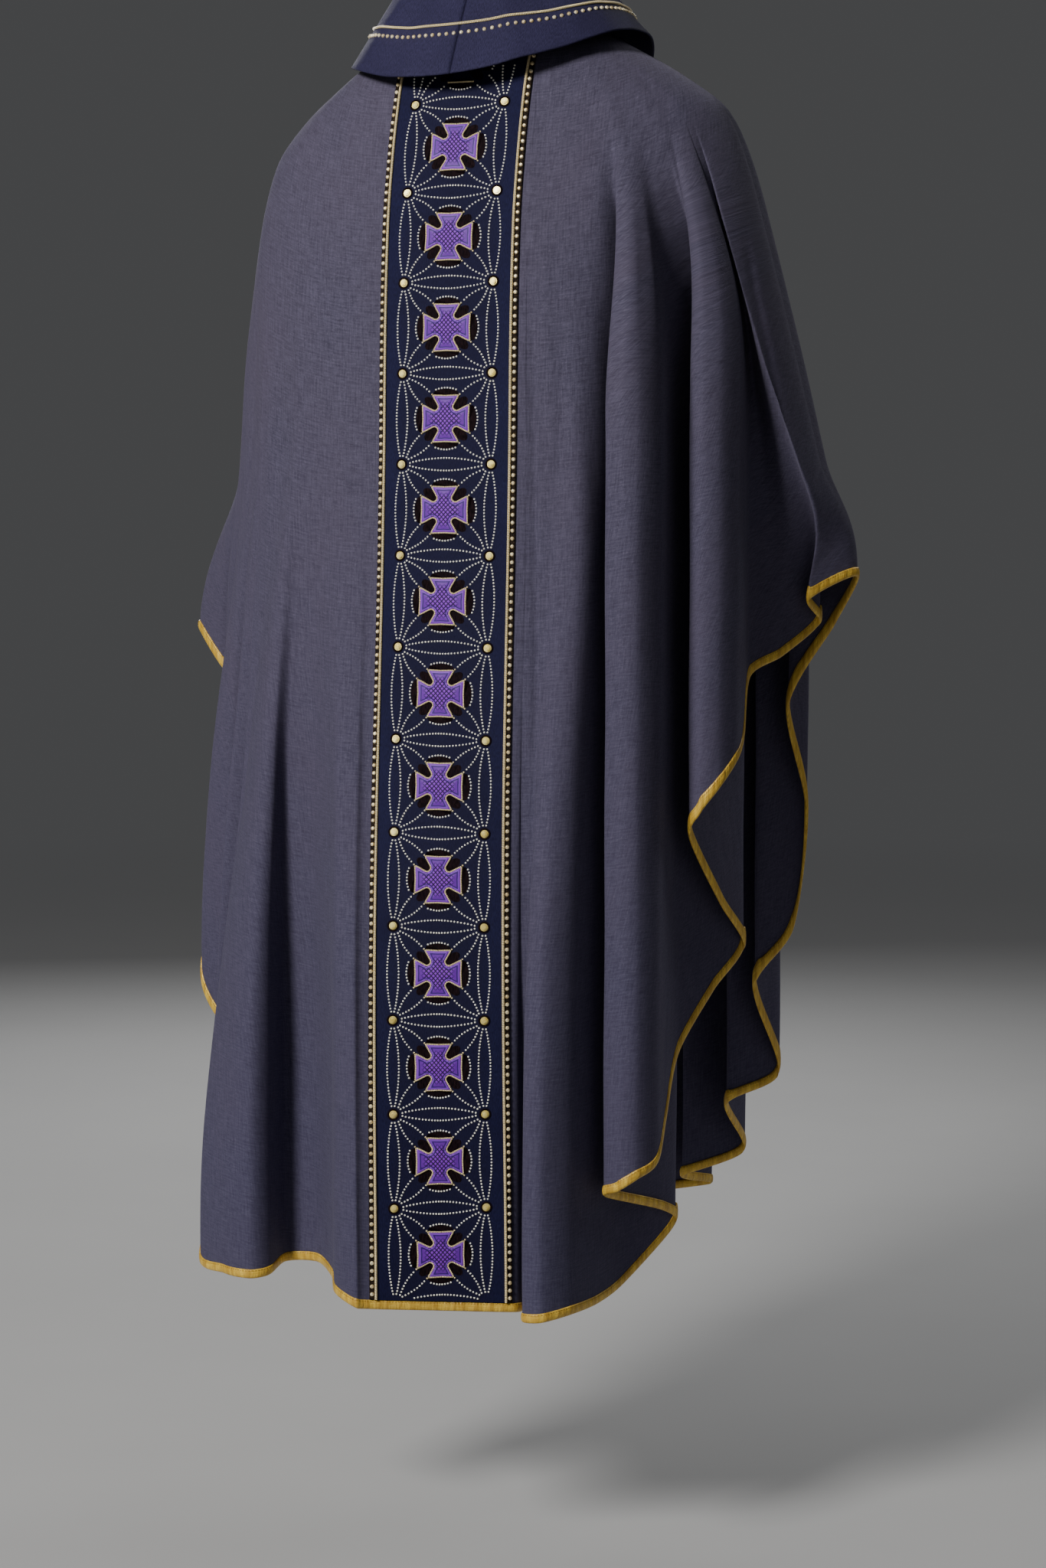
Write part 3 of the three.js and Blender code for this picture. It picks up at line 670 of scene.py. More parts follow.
# %% Gold cord
def cord_material():
    s = Shader("gold_cord", (0.9, 0.72, 0.36), 0.34, Metallic=0.3)
    u, v = s.uv()
    turned, along = s.math("MULTIPLY", u, 2 * math.pi), s.math("MULTIPLY", v, CORD_TWIST)
    twist_and_painted_light = s.math("SINE", s.math("ADD", turned, along))
    fine = s.noise((40, 2600, 1), detail=2)
    # painted highlight on the crests of the plies and painted shade in the grooves between them
    tone = s.mix(s.span(twist_and_painted_light, -0.9, 0.7), (0.55, 0.36, 0.1), (1.0, 0.88, 0.55))
    normal = s.bump(twist_and_painted_light, 0.6, 0.0006)
    return s.finish(s.mix(0.25, tone, s.mix(fine, (0.7, 0.48, 0.16), (1.0, 0.92, 0.64))), normal)


# %% Beads, studs and dark thread
def bead_material(name, low, high, metal, rough):
    s = Shader(name, high, rough, Metallic=metal, Coat_Weight=0.4, Coat_Roughness=0.15)
    spread = s.noise((160, 160, 160), kind="Object", detail=2)
    fine = s.noise((2600, 2600, 2600), kind="Object", detail=1)
    tone = s.mix(s.span(spread, 0.3, 0.7), low, high)
    return s.finish(tone, s.bump(fine, 0.25, 0.0003))


def dark_material():
    s = Shader("dark_fill", (0.012, 0.006, 0.008), 0.8, Specular_IOR_Level=0.06)
    fine = s.noise((900, 200, 1), turn=0.785, detail=2)
    tone = s.mix(s.span(fine, 0.35, 0.7), (0.002, 0.001, 0.002), (0.014, 0.006, 0.008))
    return s.finish(tone, s.bump(fine, 0.4, 0.0004))


# %% Violet satin
LATTICE = math.pi / 0.0046  # the diamonds repeat every 4.6 mm
DARK_LINE, DARK_LINE_HALF = 3.1, 0.6  # millimetres in from the cross's outline
LIGHT_LINE, LIGHT_LINE_HALF = 2.1, 0.5


def cross_material():
    """mask is the distance from the cross's outline, in millimetres."""
    s = Shader("violet_satin", (0.12, 0.03, 0.34), 0.5, Specular_IOR_Level=0.25)
    u, v = s.uv()
    rim = s.attribute("mask")
    a, b = s.math("ADD", u, v), s.math("SUBTRACT", u, v)
    ways = [s.math("ABSOLUTE", s.math("SINE", s.math("MULTIPLY", way, LATTICE))) for way in (a, b)]
    lattice = s.math("MINIMUM", *ways)
    fine = s.noise((800, 800, 1), detail=2)
    reach = s.math("MAXIMUM", s.math("ABSOLUTE", u), s.math("ABSOLUTE", v))
    field = s.mix(s.span(reach, 0.011, 0.02), (0.05, 0.004, 0.17), (0.15, 0.018, 0.38))
    knots = s.mix(s.span(lattice, 0.32, 0.72), (0.002, 0.0, 0.01), (0.25, 0.03, 0.6))
    tone = s.mix(s.span(reach, 0.017, 0.012), field, knots)
    tone = s.mix(s.span(fine, 0.35, 0.75, 0.0, 0.15), tone, (0.2, 0.055, 0.54))
    dark_line = s.math("COMPARE", rim, DARK_LINE, DARK_LINE_HALF)
    light_line = s.math("COMPARE", rim, LIGHT_LINE, LIGHT_LINE_HALF)
    tone = s.mix(s.math("MULTIPLY", dark_line, 0.9), tone, (0.025, 0.004, 0.12))
    tone = s.mix(s.math("MULTIPLY", light_line, 0.6), tone, (0.25, 0.08, 0.62))
    tone = s.mix(s.span(rim, 1.2, 0.6, 0.0, 0.8), tone, (0.3, 0.11, 0.62))
    normal = s.bump(s.math("MULTIPLY", lattice, s.span(reach, 0.017, 0.012)), 0.5, 0.0008)
    normal = s.bump(s.math("MULTIPLY", dark_line, -1.0), 0.6, 0.0008, normal)
    normal = s.bump(fine, 0.4, 0.0005, normal)
    return s.finish(tone, normal)


# %% All the materials
CLOTH, BAND, COLLAR_SATIN = cloth_material(), band_material(), collar_material()
BINDING, CORD, DARK, VIOLET = binding_material(), cord_material(), dark_material(), cross_material()
PEARL = bead_material("pale_dots", (0.9, 0.87, 0.74), (1.0, 0.99, 0.92), 0.0, 0.3)
BEAD = bead_material("gold_beads", (0.6, 0.44, 0.2), (1.0, 0.9, 0.62), 0.3, 0.25)
STUD = bead_material("gold_studs", (0.8, 0.6, 0.12), (1.0, 0.88, 0.36), 0.4, 0.3)

print(len(bpy.data.materials), "materials")

# %% [markdown]
# ## Panels
# The back and front panels are cut from one piece of cloth each and sewn together over the
# shoulders. Each is one thin shell on the drape. Its cloth coordinates are lengths along the cloth,
# across and down, so the weave is never stretched. Both dip a little into the shoulder seam.


# %% Panels
HEM_INSIDE = 5  # the cloth ends this far above the edge, inside the binding
TURN_WIDTH = 14.0  # one turn is about this wide beside the shoulder seam
SEAM_DIP, SEAM_DIP_WIDTH = 1.4, 2.2


def panel_grid(start, end, per_turn, shoulder_rows, fall_rows):
    """Rays and heights of a panel's points, closer together toward the neck."""
    u = np.linspace(start, end, int((end - start) * per_turn) + 1)
    top, low = neck_height(u), turn_value("z", u) + HEM_INSIDE * slant(u)
    f = (np.arange(shoulder_rows) / shoulder_rows) ** 1.5
    g = np.linspace(0, 1, fall_rows + 1)
    z = np.concatenate([
        top[:, None] + (SHOULDER_Z - top[:, None]) * f,
        SHOULDER_Z + (low[:, None] - SHOULDER_Z) * g,
    ], axis=1)
    return np.broadcast_to(u[:, None], z.shape), z


def make_panel(name, node, start, end, per_turn, shoulder_rows, fall_rows):
    u, z = panel_grid(start, end, per_turn, shoulder_rows, fall_rows)
    points = skin(u, z)
    # the shoulder seams: the cloth dips into the seam on both sides
    reach = np.minimum(u - u[0, 0], u[-1, 0] - u) * TURN_WIDTH
    points -= facing(cloth, u, z) * (SEAM_DIP * np.exp(-((reach / SEAM_DIP_WIDTH) ** 2)))[..., None]
    gap = unit(points[1] - points[0]) * SEAM / 2, unit(points[-2] - points[-1]) * SEAM / 2
    points[0] += gap[0]
    points[-1] += gap[1]
    across, down = run_length(points, 0), run_length(points, 1)
    middle = np.argmin(np.abs(u[:, 0] - (0 if name == "back_cloth" else FRONT_CENTRE)))
    across = across - across[middle]
    uv = np.stack([across, down], -1) * MM
    piece = add_mesh(name, points, grid_faces(*u.shape)[:, ::-1], CLOTH, uv)
    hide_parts(node)
    area = sum(face.area for face in piece.data.polygons)
    print(name, len(piece.data.polygons), "faces,", round(area, 2), "square metres")
    print("  centre line", round(down[middle, -1] * MM, 2), "m, widest",
          round(np.ptp(across, axis=0).max() * MM, 2), "m")
    return piece


back = make_panel("back_cloth", "back_panel", TIP_LEFT - COUNT, TIP_RIGHT, 12, 36, 120)
front = make_panel("front_cloth", "front_panel", TIP_RIGHT, TIP_LEFT, 14, 30, 110)


# %% [markdown]
# ## Gold binding
# The maker folds a bias strip over the raw edge and stitches it through. Here a section of 17 points
# is swept along the hem: it runs down the outer face, round the edge and up the inner face.

# %% Gold binding
BIND_SECTION = [  # (height above the edge, distance out of the cloth)
    (8.7, 0.1), (8.5, 0.75), (7.6, 1.05), (6.2, 1.35), (4.5, 1.5), (2.8, 1.4), (1.2, 1.1), (0.1, 0.3),
    (-0.5, -0.6), (0.1, -1.5), (1.2, -2.3), (2.8, -2.6), (4.5, -2.7), (6.2, -2.5), (7.6, -2.2),
    (8.5, -1.7), (8.7, -0.6),
]
EDGE_POINT = 8  # the point of the section at the very edge


def make_binding(name, node, start, end, per_turn):
    u = np.linspace(start, end, int((end - start) * per_turn) + 1)
    hem, steep = turn_value("z", u), slant(u)
    section = np.array(BIND_SECTION)
    z = hem[:, None] + section[None, :, 0] * steep[:, None]
    uu = np.broadcast_to(u[:, None], z.shape)
    points = skin(uu, z) + facing(cloth, uu, z) * section[None, :, 1, None]
    along = run_length(points[:, EDGE_POINT : EDGE_POINT + 1], 0)
    side = np.where(np.arange(len(section)) < EDGE_POINT, 1, -1)
    uv = np.stack(np.broadcast_arrays(along, section[:, 0] * side), -1) * MM
    piece = add_mesh(name, points, grid_faces(*z.shape, True)[:, ::-1], BINDING, uv)
    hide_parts(node)
    print(name, "length", round(along[-1, 0] * MM, 2), "m")
    return piece


bind_back = make_binding("gold_binding_back", "binding_back", TIP_LEFT - COUNT, TIP_RIGHT, 16)
bind_front = make_binding("gold_binding_front", "binding_front", TIP_RIGHT, TIP_LEFT, 18)


# %% [markdown]
# ## The band
# A straight strip of satin on interlining is laid over the back and sewn down along its sides. It
# follows the panel, so it is made from the drape's own points, moved out. Its own coordinates are a,
# millimetres from its middle toward the garment's right, and height z.


# %% Band surface
def on_band(a, z, lift=0.0):
    """Points over the band's top face."""
    u, z = np.broadcast_arrays(np.asarray(a, float) / BAND_HALF, np.asarray(z, float))
    return cloth(u, z) + facing(cloth, u, z) * (BAND_LIFT + np.asarray(lift))[..., None]


def band_low(a):
    """Height at which the band meets the hem's binding."""
    u = np.asarray(a, float) / BAND_HALF
    return turn_value("z", u) + (BIND_WIDTH + SEAM) * slant(u)


BAND_EDGE = [(-70.0, -1.6), (-70.0, -0.5), (-69.6, 0.0)]  # its turned side: (a, height)
BAND_FLAT_HALF, BAND_COLUMNS, BAND_ROWS = 68, 57, 341
flat = [(a, 0.0) for a in np.linspace(-BAND_FLAT_HALF, BAND_FLAT_HALF, BAND_COLUMNS)]
edge = np.array(BAND_EDGE + flat + [(-a, height) for a, height in BAND_EDGE[::-1]])
f = np.linspace(0, 1, BAND_ROWS)
band_z = BAND_TOP_Z + (band_low(edge[:, 0])[:, None] - BAND_TOP_Z) * f
band_points = on_band(edge[:, 0:1], band_z, edge[:, 1:2] + np.zeros_like(band_z))
band_run = run_length(band_points, 1)
band_uv = np.stack(np.broadcast_arrays(edge[:, 0:1], band_run), -1) * MM
band = add_mesh("band_satin", band_points, grid_faces(*band_z.shape)[:, ::-1], BAND, band_uv)
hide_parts("orphrey")
print("band", round(band_run[len(edge) // 2, -1] * MM, 3), "m long")


# %% [markdown]
# ## Ornament on the band
# A traditional diaper: a cross in each square, petals between the studs, all in rows of small dots.
# It is drawn here from its own sizes, as lists of places (a, z) on the band: bowed lines for the
# petals, short arcs round each cross, and ovals and segments for the dark fills.

# %% Ornament sizes
STUD_A = 41.4
STUD_RADIUS = 4.1
DOT_PITCH = 3.0
DOT_RADIUS = 1.02
LINE_A = 60.5
BEAD_A = 65.8
BEAD_PITCH = 7.5
BEAD_RADIUS = 2.05
CORD_RADIUS, CORD_SIDES, CORD_SINK = 1.35, 8, 0.7  # its middle lies 0.7 of its radius up
EDGE_RADIUS, EDGE_SIDES, EDGE_LIFT = 0.8, 6, 0.9  # the cross's thin cord
ARC_RADIUS, ARC_HALF_ANGLE = 29.4, 0.46
PETAL_GAP = 8.0  # from a stud's middle to a petal's end
UPRIGHT_PETAL, LEVEL_PETAL = 10.6, 12.0  # thickness
STALK_GAP, STALK_START, STALK_BOW = 8.2, 1.3, 1.6  # the two lines from a stud to a cross's arms
CORNER_GAP = 1.4  # from an arm's corner to the end of its line


# %% Lines of the ornament
def cross_z(k):
    return CROSS_FIRST_Z - CROSS_PITCH * k - CROSS_STRETCH * k * k


def stud_z(k):
    """Height of the studs above cross k."""
    return (cross_z(k) + cross_z(k - 1)) / 2


def left_of(way):
    """The direction to the left of a line on the band, one millimetre long."""
    return np.array([-way[1], way[0]]) / np.hypot(*way)


def line_points(start, end, bulge, n=40, blunt=0.8):
    """A bowed line between two points of the band; bulge is to its left."""
    s = np.linspace(0, 1, n)
    start, end = np.array(start, float), np.array(end, float)
    way = end - start
    return start + way * s[:, None] + left_of(way) * (bulge * np.sin(math.pi * s) ** blunt)[:, None]


def spaced(line, pitch, skip_ends=False):
    """Points at even steps along a line, as near to the pitch as its length allows."""
    step = np.hypot(*np.diff(line, axis=0).T)
    run = np.concatenate([[0], np.cumsum(step)])
    count = max(2, int(round(run[-1] / pitch)) + 1)
    want = np.linspace(0, run[-1], count)
    if skip_ends:
        want = want[1:-1]
    return np.stack([np.interp(want, run, line[:, i]) for i in (0, 1)], -1)


def petal(start, end, thick, neck=1.4):
    """The two dotted sides of a petal."""
    left = left_of(np.array(end, float) - np.array(start, float)) * neck
    bulge = thick / 2 - neck
    return [line_points(start + left, end + left, bulge), line_points(start - left, end - left, -bulge)]


# %% Places of the dots and fills
CROSS_REACH, ARM_HALF, BAY_MIDDLE, BAY_RADIUS = 22.2, 13.0, 11.4, 3.9
CORNERS = [(ARM_HALF, CROSS_REACH), (CROSS_REACH, ARM_HALF)]
OVAL_MIDDLE, OVAL_LONG, OVAL_SHORT = 14.0, 8.6, 4.6
dots, ovals, segments = [], [], []
for k in range(-1, CROSS_COUNT):
    zc, z_up, z_low = cross_z(k), stud_z(k), stud_z(k + 1)
    for side in (1, -1):
        top, foot = (side * STUD_A, z_up - PETAL_GAP), (side * STUD_A, z_low + PETAL_GAP)
        for line in petal(top, foot, UPRIGHT_PETAL):
            dots.append(spaced(line, DOT_PITCH))
        for flip, z_stud in ((1, z_up), (-1, z_low)):
            stud = np.array([side * STUD_A, z_stud])
            centre = np.array([0, zc])
            way = unit(centre - stud)
            left = left_of(way)
            begin = stud + way * STALK_GAP
            for a, b in CORNERS:
                corner = centre + (side * (a + CORNER_GAP), flip * (b + CORNER_GAP))
                lean = math.copysign(1.0, left @ (corner - stud))
                line = line_points(begin + left * lean * STALK_START, corner, lean * STALK_BOW, blunt=1.0)
                dots.append(spaced(line, DOT_PITCH)[:-1])
            ovals.append((centre + np.array([side, flip]) * OVAL_MIDDLE, side * flip))
    for quarter in range(4):
        mid = quarter * math.pi / 2
        t = np.linspace(mid - ARC_HALF_ANGLE, mid + ARC_HALF_ANGLE, 24)
        arc = np.stack([ARC_RADIUS * np.sin(t), zc + ARC_RADIUS * np.cos(t)], -1)
        dots.append(spaced(arc, DOT_PITCH, skip_ends=True))
        segments.append((zc, mid))
for k in range(-1, CROSS_COUNT + 1):
    z = stud_z(k)
    for line in petal((-STUD_A + PETAL_GAP, z), (STUD_A - PETAL_GAP, z), LEVEL_PETAL):
        dots.append(spaced(line, DOT_PITCH))
dots = np.concatenate(dots)
UNDER_COLLAR_Z = -46.0


def on_show(spots, clear):
    """Which of the spots lie between the collar and the hem's binding."""
    return (spots[:, 1] < UNDER_COLLAR_Z) & (spots[:, 1] > band_low(spots[:, 0]) + clear)


print(len(dots), "dots before the trim,", len(ovals), "oval fills,", len(segments), "segment fills")


# %% [markdown]
# ## One bead, one stud, one dot
# What repeats hundreds of times is modelled once, with few faces, as it would be by hand: a primitive
# at its real size, cut flat underneath with bisect, or raised with extrude and resize. Its points
# are then taken over as an array, and copies are laid on the surface as one joined mesh.

# %% Helpers for modelling by hand
def start_shape():
    """Deselects everything, because an operator acts on all that is selected."""
    bpy.ops.object.select_all(action="DESELECT")


def choose(test):
    """In edit mode, selects the points for which test(point) holds."""
    mesh = bmesh.from_edit_mesh(bpy.context.edit_object.data)
    for point in mesh.verts:
        point.select = bool(test(point.co))
    mesh.select_flush(True)
    bmesh.update_edit_mesh(bpy.context.edit_object.data)


def take_shape():
    """Hands the modelled shape over as points in millimetres and faces by their number of corners."""
    bpy.ops.object.mode_set(mode="OBJECT")
    shape = bpy.context.object
    points = np.array([point.co for point in shape.data.vertices]) * 1000
    rings = [tuple(face.vertices) for face in shape.data.polygons]
    sizes = sorted({len(ring) for ring in rings})
    faces = [np.array([ring for ring in rings if len(ring) == size]) for size in sizes]
    bpy.data.objects.remove(shape, do_unlink=True)
    return points, faces


# %% Dot and seed bead
def cut_ball(radius, segments, rings, foot):
    """Starts a small ball, cut flat at its foot, and leaves it in edit mode."""
    start_shape()
    bpy.ops.mesh.primitive_uv_sphere_add(segments=segments, ring_count=rings, radius=radius * MM)
    bpy.ops.object.mode_set(mode="EDIT")
    bpy.ops.mesh.select_all(action="SELECT")
    bpy.ops.mesh.bisect(plane_co=(0, 0, foot * MM), plane_no=(0, 0, 1), clear_inner=True)


def model_dot():
    """A tiny round bead, flat underneath."""
    cut_ball(DOT_RADIUS, 6, 4, -0.1)
    return take_shape()


DIMPLE = 0.6  # part of the bead's radius


def model_bead():
    """A seed bead sewn down with its hole up: a low ball with a dimple at its pole."""
    cut_ball(BEAD_RADIUS, 10, 8, -0.3)
    choose(lambda point: point.z > BEAD_RADIUS * MM * 0.98)
    bpy.ops.transform.translate(value=(0, 0, -BEAD_RADIUS * MM * DIMPLE))
    return take_shape()


# %% Stud and its setting
STUD_BASE, STUD_TAPER = 0.6, 0.9
STUD_STEPS = [(1.1, 0.72), (0.6, 0.62)]  # height of each step, and its size against the one below
RING_OUT, RING_RADIUS, RING_FLAT = 0.75, 1.0, 0.7


def model_stud():
    """A cut stone: a ring of crown facets round a small flat table."""
    start_shape()
    bpy.ops.mesh.primitive_cone_add(vertices=12, radius1=STUD_RADIUS * MM,
                                    radius2=STUD_RADIUS * STUD_TAPER * MM,
                                    depth=STUD_BASE * MM, location=(0, 0, STUD_BASE / 2 * MM))
    bpy.ops.object.mode_set(mode="EDIT")
    choose(lambda point: point.z > 0)
    for height, size in STUD_STEPS:
        bpy.ops.mesh.extrude_region_move(TRANSFORM_OT_translate={"value": (0, 0, height * MM)})
        bpy.ops.transform.resize(value=(size, size, 1))
    bpy.ops.mesh.select_all(action="SELECT")
    bpy.ops.mesh.quads_convert_to_tris()
    return take_shape()


def model_setting():
    """The dark ring that a stud sits in."""
    start_shape()
    bpy.ops.mesh.primitive_torus_add(major_radius=(STUD_RADIUS + RING_OUT) * MM,
                                     minor_radius=RING_RADIUS * MM, major_segments=20, minor_segments=6)
    bpy.ops.transform.resize(value=(1, 1, RING_FLAT))
    bpy.ops.object.transform_apply(location=False, rotation=False, scale=True)
    return take_shape()


# %% Laying copies on a surface
def lay_copies(name, shape, places, normals, material, facets=False, spin=0.0):
    """One joined mesh: the shape stands on each place, its own z along the normal there."""
    points, faces = shape
    down = unit(np.cross(normals, UP))
    other = np.cross(normals, down)
    turn = spin * np.arange(len(places))[:, None, None]
    x, y, z = points[None, :, 0:1], points[None, :, 1:2], points[None, :, 2:3]
    x, y = x * np.cos(turn) - y * np.sin(turn), x * np.sin(turn) + y * np.cos(turn)
    laid = places[:, None] + x * down[:, None] + y * other[:, None] + z * normals[:, None]
    base = (np.arange(len(places)) * len(points))[:, None, None]
    groups = [(group[None] + base).reshape(-1, group.shape[1]) for group in faces]
    piece = add_mesh(name, laid, groups, material)
    if facets:
        piece.data.polygons.foreach_set("use_smooth", np.zeros(len(piece.data.polygons), bool))
    print(name, len(places), "copies of", len(points), "points")
    return piece


def band_frame(a, z, lift=0.0):
    """Points over the band, and the band's normals there."""
    u = np.asarray(a, float) / BAND_HALF
    return on_band(a, z, np.zeros(np.shape(a)) + lift), facing(cloth, u, np.asarray(z, float))


DOT, BEAD_SHAPE, STUD_SHAPE, SETTING = model_dot(), model_bead(), model_stud(), model_setting()
for title, (points, _) in (("dot", DOT), ("bead", BEAD_SHAPE), ("stud", STUD_SHAPE), ("setting", SETTING)):
    print(title, len(points), "points,", round(np.ptp(points[:, 0]), 1), "mm wide")

# %% [markdown]
# ## Sewing them on
# Each copy stands square to the band where it lies. A geometry-nodes scatter could do this too, but
# the exact rows are known, so plain arrays place them and nothing is left live.

# %% Dots, studs and beads laid on the band
DOT_LIFT, STUD_LIFT, BEAD_LIFT = 0.05, 0.1, 0.2
FIRST_BEAD_Z, BEAD_CLEAR, STUD_CLEAR, DOT_CLEAR = -40, 2.4, 4.0, 2.0
dots = dots[on_show(dots, DOT_CLEAR)]
places, normals = band_frame(dots[:, 0], dots[:, 1], DOT_LIFT)
stitch_dots = lay_copies("dotted_ornament", DOT, places, normals, PEARL)

stud_rows = np.array([(side * STUD_A, stud_z(k)) for k in range(0, CROSS_COUNT + 1) for side in (1, -1)])
stud_rows = stud_rows[on_show(stud_rows, STUD_CLEAR)]
places, normals = band_frame(stud_rows[:, 0], stud_rows[:, 1], STUD_LIFT)
studs = lay_copies("studs", STUD_SHAPE, places, normals, STUD, facets=True, spin=0.4)
rings = lay_copies("stud_rings", SETTING, places, normals, DARK)

bead_z = np.arange(FIRST_BEAD_Z, DEEPEST, -BEAD_PITCH)
bead_rows = np.array([(side * BEAD_A, z) for side in (1, -1) for z in bead_z])
bead_rows = bead_rows[bead_rows[:, 1] > band_low(bead_rows[:, 0]) + BEAD_CLEAR]
places, normals = band_frame(bead_rows[:, 0], bead_rows[:, 1], BEAD_LIFT)
beads = lay_copies("band_beads", BEAD_SHAPE, places, normals, BEAD)


# %% [markdown]
# ## Cords
# A twisted gold cord is couched along each side of the band. A bevelled curve would do, but a tube
# built ring by ring carries its own coordinates, turns and metres, which the twist needs.

# %% Cords: tubes along a line that lies on a surface
def tube(centre, normals, radius, sides):
    """A tube round a line; its own coordinates are turns and metres."""
    along = unit(np.gradient(centre, axis=0))
    side = unit(np.cross(along, normals))
    lift = np.cross(side, along)
    turn = np.linspace(0, 2 * math.pi, sides + 1)
    ring = side[:, None] * np.cos(turn)[None, :, None] + lift[:, None] * np.sin(turn)[None, :, None]
    points = centre[:, None] + ring * radius
    run = np.concatenate([[0], np.cumsum(np.linalg.norm(np.diff(centre, axis=0), axis=1))]) * MM
    uv = np.stack(np.broadcast_arrays(turn[None] / (2 * math.pi), run[:, None]), -1)
    return points, uv, grid_faces(len(centre), sides + 1)


def join_tubes(name, parts):
    """Several tubes as one piece of gold cord."""
    points, uvs, faces, base = [], [], [], 0
    for p, uv, f in parts:
        points.append(p.reshape(-1, 3))
        uvs.append(uv.reshape(-1, 2))
        faces.append(f + base)
        base += len(points[-1])
    print(name, round(sum(uv[-1, 0, 1] for _, uv, _ in parts), 2), "m of cord")
    return add_mesh(name, np.concatenate(points), np.concatenate(faces), CORD, np.concatenate(uvs))


CORD_RINGS = 420
parts = []
for side in (1, -1):
    line_z = np.linspace(BAND_TOP_Z - 1, float(band_low(side * LINE_A)) + 0.6, CORD_RINGS)
    centre, normals = band_frame(np.full(len(line_z), side * LINE_A), line_z, CORD_RADIUS * CORD_SINK)
    parts.append(tube(centre, normals, CORD_RADIUS, CORD_SIDES))
band_cords = join_tubes("band_cords", parts)


# %% [markdown]
# ## Dark fills
# Between the arms of each cross, and between each arm and its arc, dark thread fills the ground.
# A filled face would cut through the band where it bends, so each fill is a thin patch laid just
# over it: rings of points that shrink toward its middle.

# %% Dark fills behind the crosses
OVAL_LIFT, SEGMENT_LIFT = 0.12, 0.14
SEGMENT_RADIUS, SEGMENT_HALF_ANGLE = 28.4, 0.45
SEGMENT_FOOT, SEGMENT_FOOT_HALF = 20.0, 12.4  # its straight side


def flat_patch(outline, lift, rings=5):
    """Points and coordinates of a patch on the band."""
    middle = outline.mean(0)
    grid = np.stack([middle + (outline - middle) * s for s in np.linspace(1, 0.04, rings)])
    points, _ = band_frame(grid[..., 0], grid[..., 1], lift)
    return points, grid * MM


patches = []
t = np.linspace(0, 2 * math.pi, 25)
for centre, lean in ovals:
    long, short = np.cos(t) * OVAL_LONG, np.sin(t) * OVAL_SHORT
    way = math.pi / 4 if lean > 0 else -math.pi / 4
    outline = centre + np.stack([long * math.cos(way) - short * math.sin(way),
                                 long * math.sin(way) + short * math.cos(way)], -1)
    patches.append(flat_patch(outline, OVAL_LIFT))
for zc, mid in segments:
    s = np.linspace(-SEGMENT_HALF_ANGLE, SEGMENT_HALF_ANGLE, 12)
    arc = np.stack([SEGMENT_RADIUS * np.sin(s), SEGMENT_RADIUS * np.cos(s)], -1)
    foot = np.linspace(SEGMENT_FOOT_HALF, -SEGMENT_FOOT_HALF, 13)
    drawn = np.concatenate([arc, np.stack([foot, np.full(13, SEGMENT_FOOT)], -1), arc[:1]])
    c, d = math.cos(mid), math.sin(mid)
    outline = np.stack([drawn[:, 0] * c + drawn[:, 1] * d, zc - drawn[:, 0] * d + drawn[:, 1] * c], -1)
    patches.append(flat_patch(outline, SEGMENT_LIFT))
fill_faces, base = [], 0
for laid, _ in patches:
    wide, high = laid.shape[:2]
    fill_faces.append(grid_faces(wide, high, True) + base)
    base += wide * high
fills = add_mesh("dark_fills", np.concatenate([laid.reshape(-1, 3) for laid, _ in patches]),
                 np.concatenate(fill_faces), DARK,
                 np.concatenate([uv.reshape(-1, 2) for _, uv in patches]))
print("dark_fills", len(patches), "patches")


# %% [markdown]
# ## Crosses
# Each arm widens to its end, and the bays between the arms are round. The applique is padded satin
# edged with a thin gold cord. It is modelled once: a filled circle is drawn to the outline, cut into
# a fine grid with bisect, and then each point is raised by its distance from the edge. Thirteen
# copies are bent onto the band, each at its own height.

# %% Cross outline
BAY_FROM, BAY_TO = 168, 282  # degrees, round the bay's middle
FLANK = [(11.4, 19.0), (9.3, 15.3)]  # the arm's side, from its corner in toward the bay
END_DIP = 0.5  # the arm's end is a little hollow
OUTLINE_PITCH = 1.1


def cross_outline():
    """Points (a, b) round the cross, from the arm's sizes and the round bay between two arms."""
    turn = np.radians(np.linspace(BAY_FROM, BAY_TO, 13))
    bay = np.stack([BAY_MIDDLE + BAY_RADIUS * np.cos(turn), BAY_MIDDLE + BAY_RADIUS * np.sin(turn)], -1)
    flank = [(ARM_HALF, CROSS_REACH)] + FLANK
    quarter = [(0, CROSS_REACH - END_DIP)] + flank + list(bay) + [(b, a) for a, b in flank[::-1]]
    points = []
    for turns in range(4):
        for a, b in quarter:
            points.append([(a, b), (b, -a), (-a, -b), (-b, a)][turns])
    line = np.array(points + points[:1], float)
    return spaced(line, OUTLINE_PITCH)[:-1]


# %% One cross, cut and padded
def outline_distance(points, outline):
    """Distance from each point to the closed outline."""
    a, b = outline, np.roll(outline, -1, 0)
    way = b - a
    f = np.clip(((points[:, None] - a) * way).sum(-1) / (way**2).sum(-1), 0, 1)
    return np.linalg.norm(points[:, None] - (a + way * f[..., None]), axis=-1).min(1)


CUT_PITCH = 1.1
CUT_FROM, CUT_TO = -CROSS_REACH + 0.7, CROSS_REACH - 0.5
PAD = np.array([  # distance from the outline, height
    (0, 0.1), (0.4, 1.1), (1.1, 1.75), (2.1, 2.0), (3.1, 1.7), (4.2, 2.05), (7.5, 2.3), (12, 2.4),
])


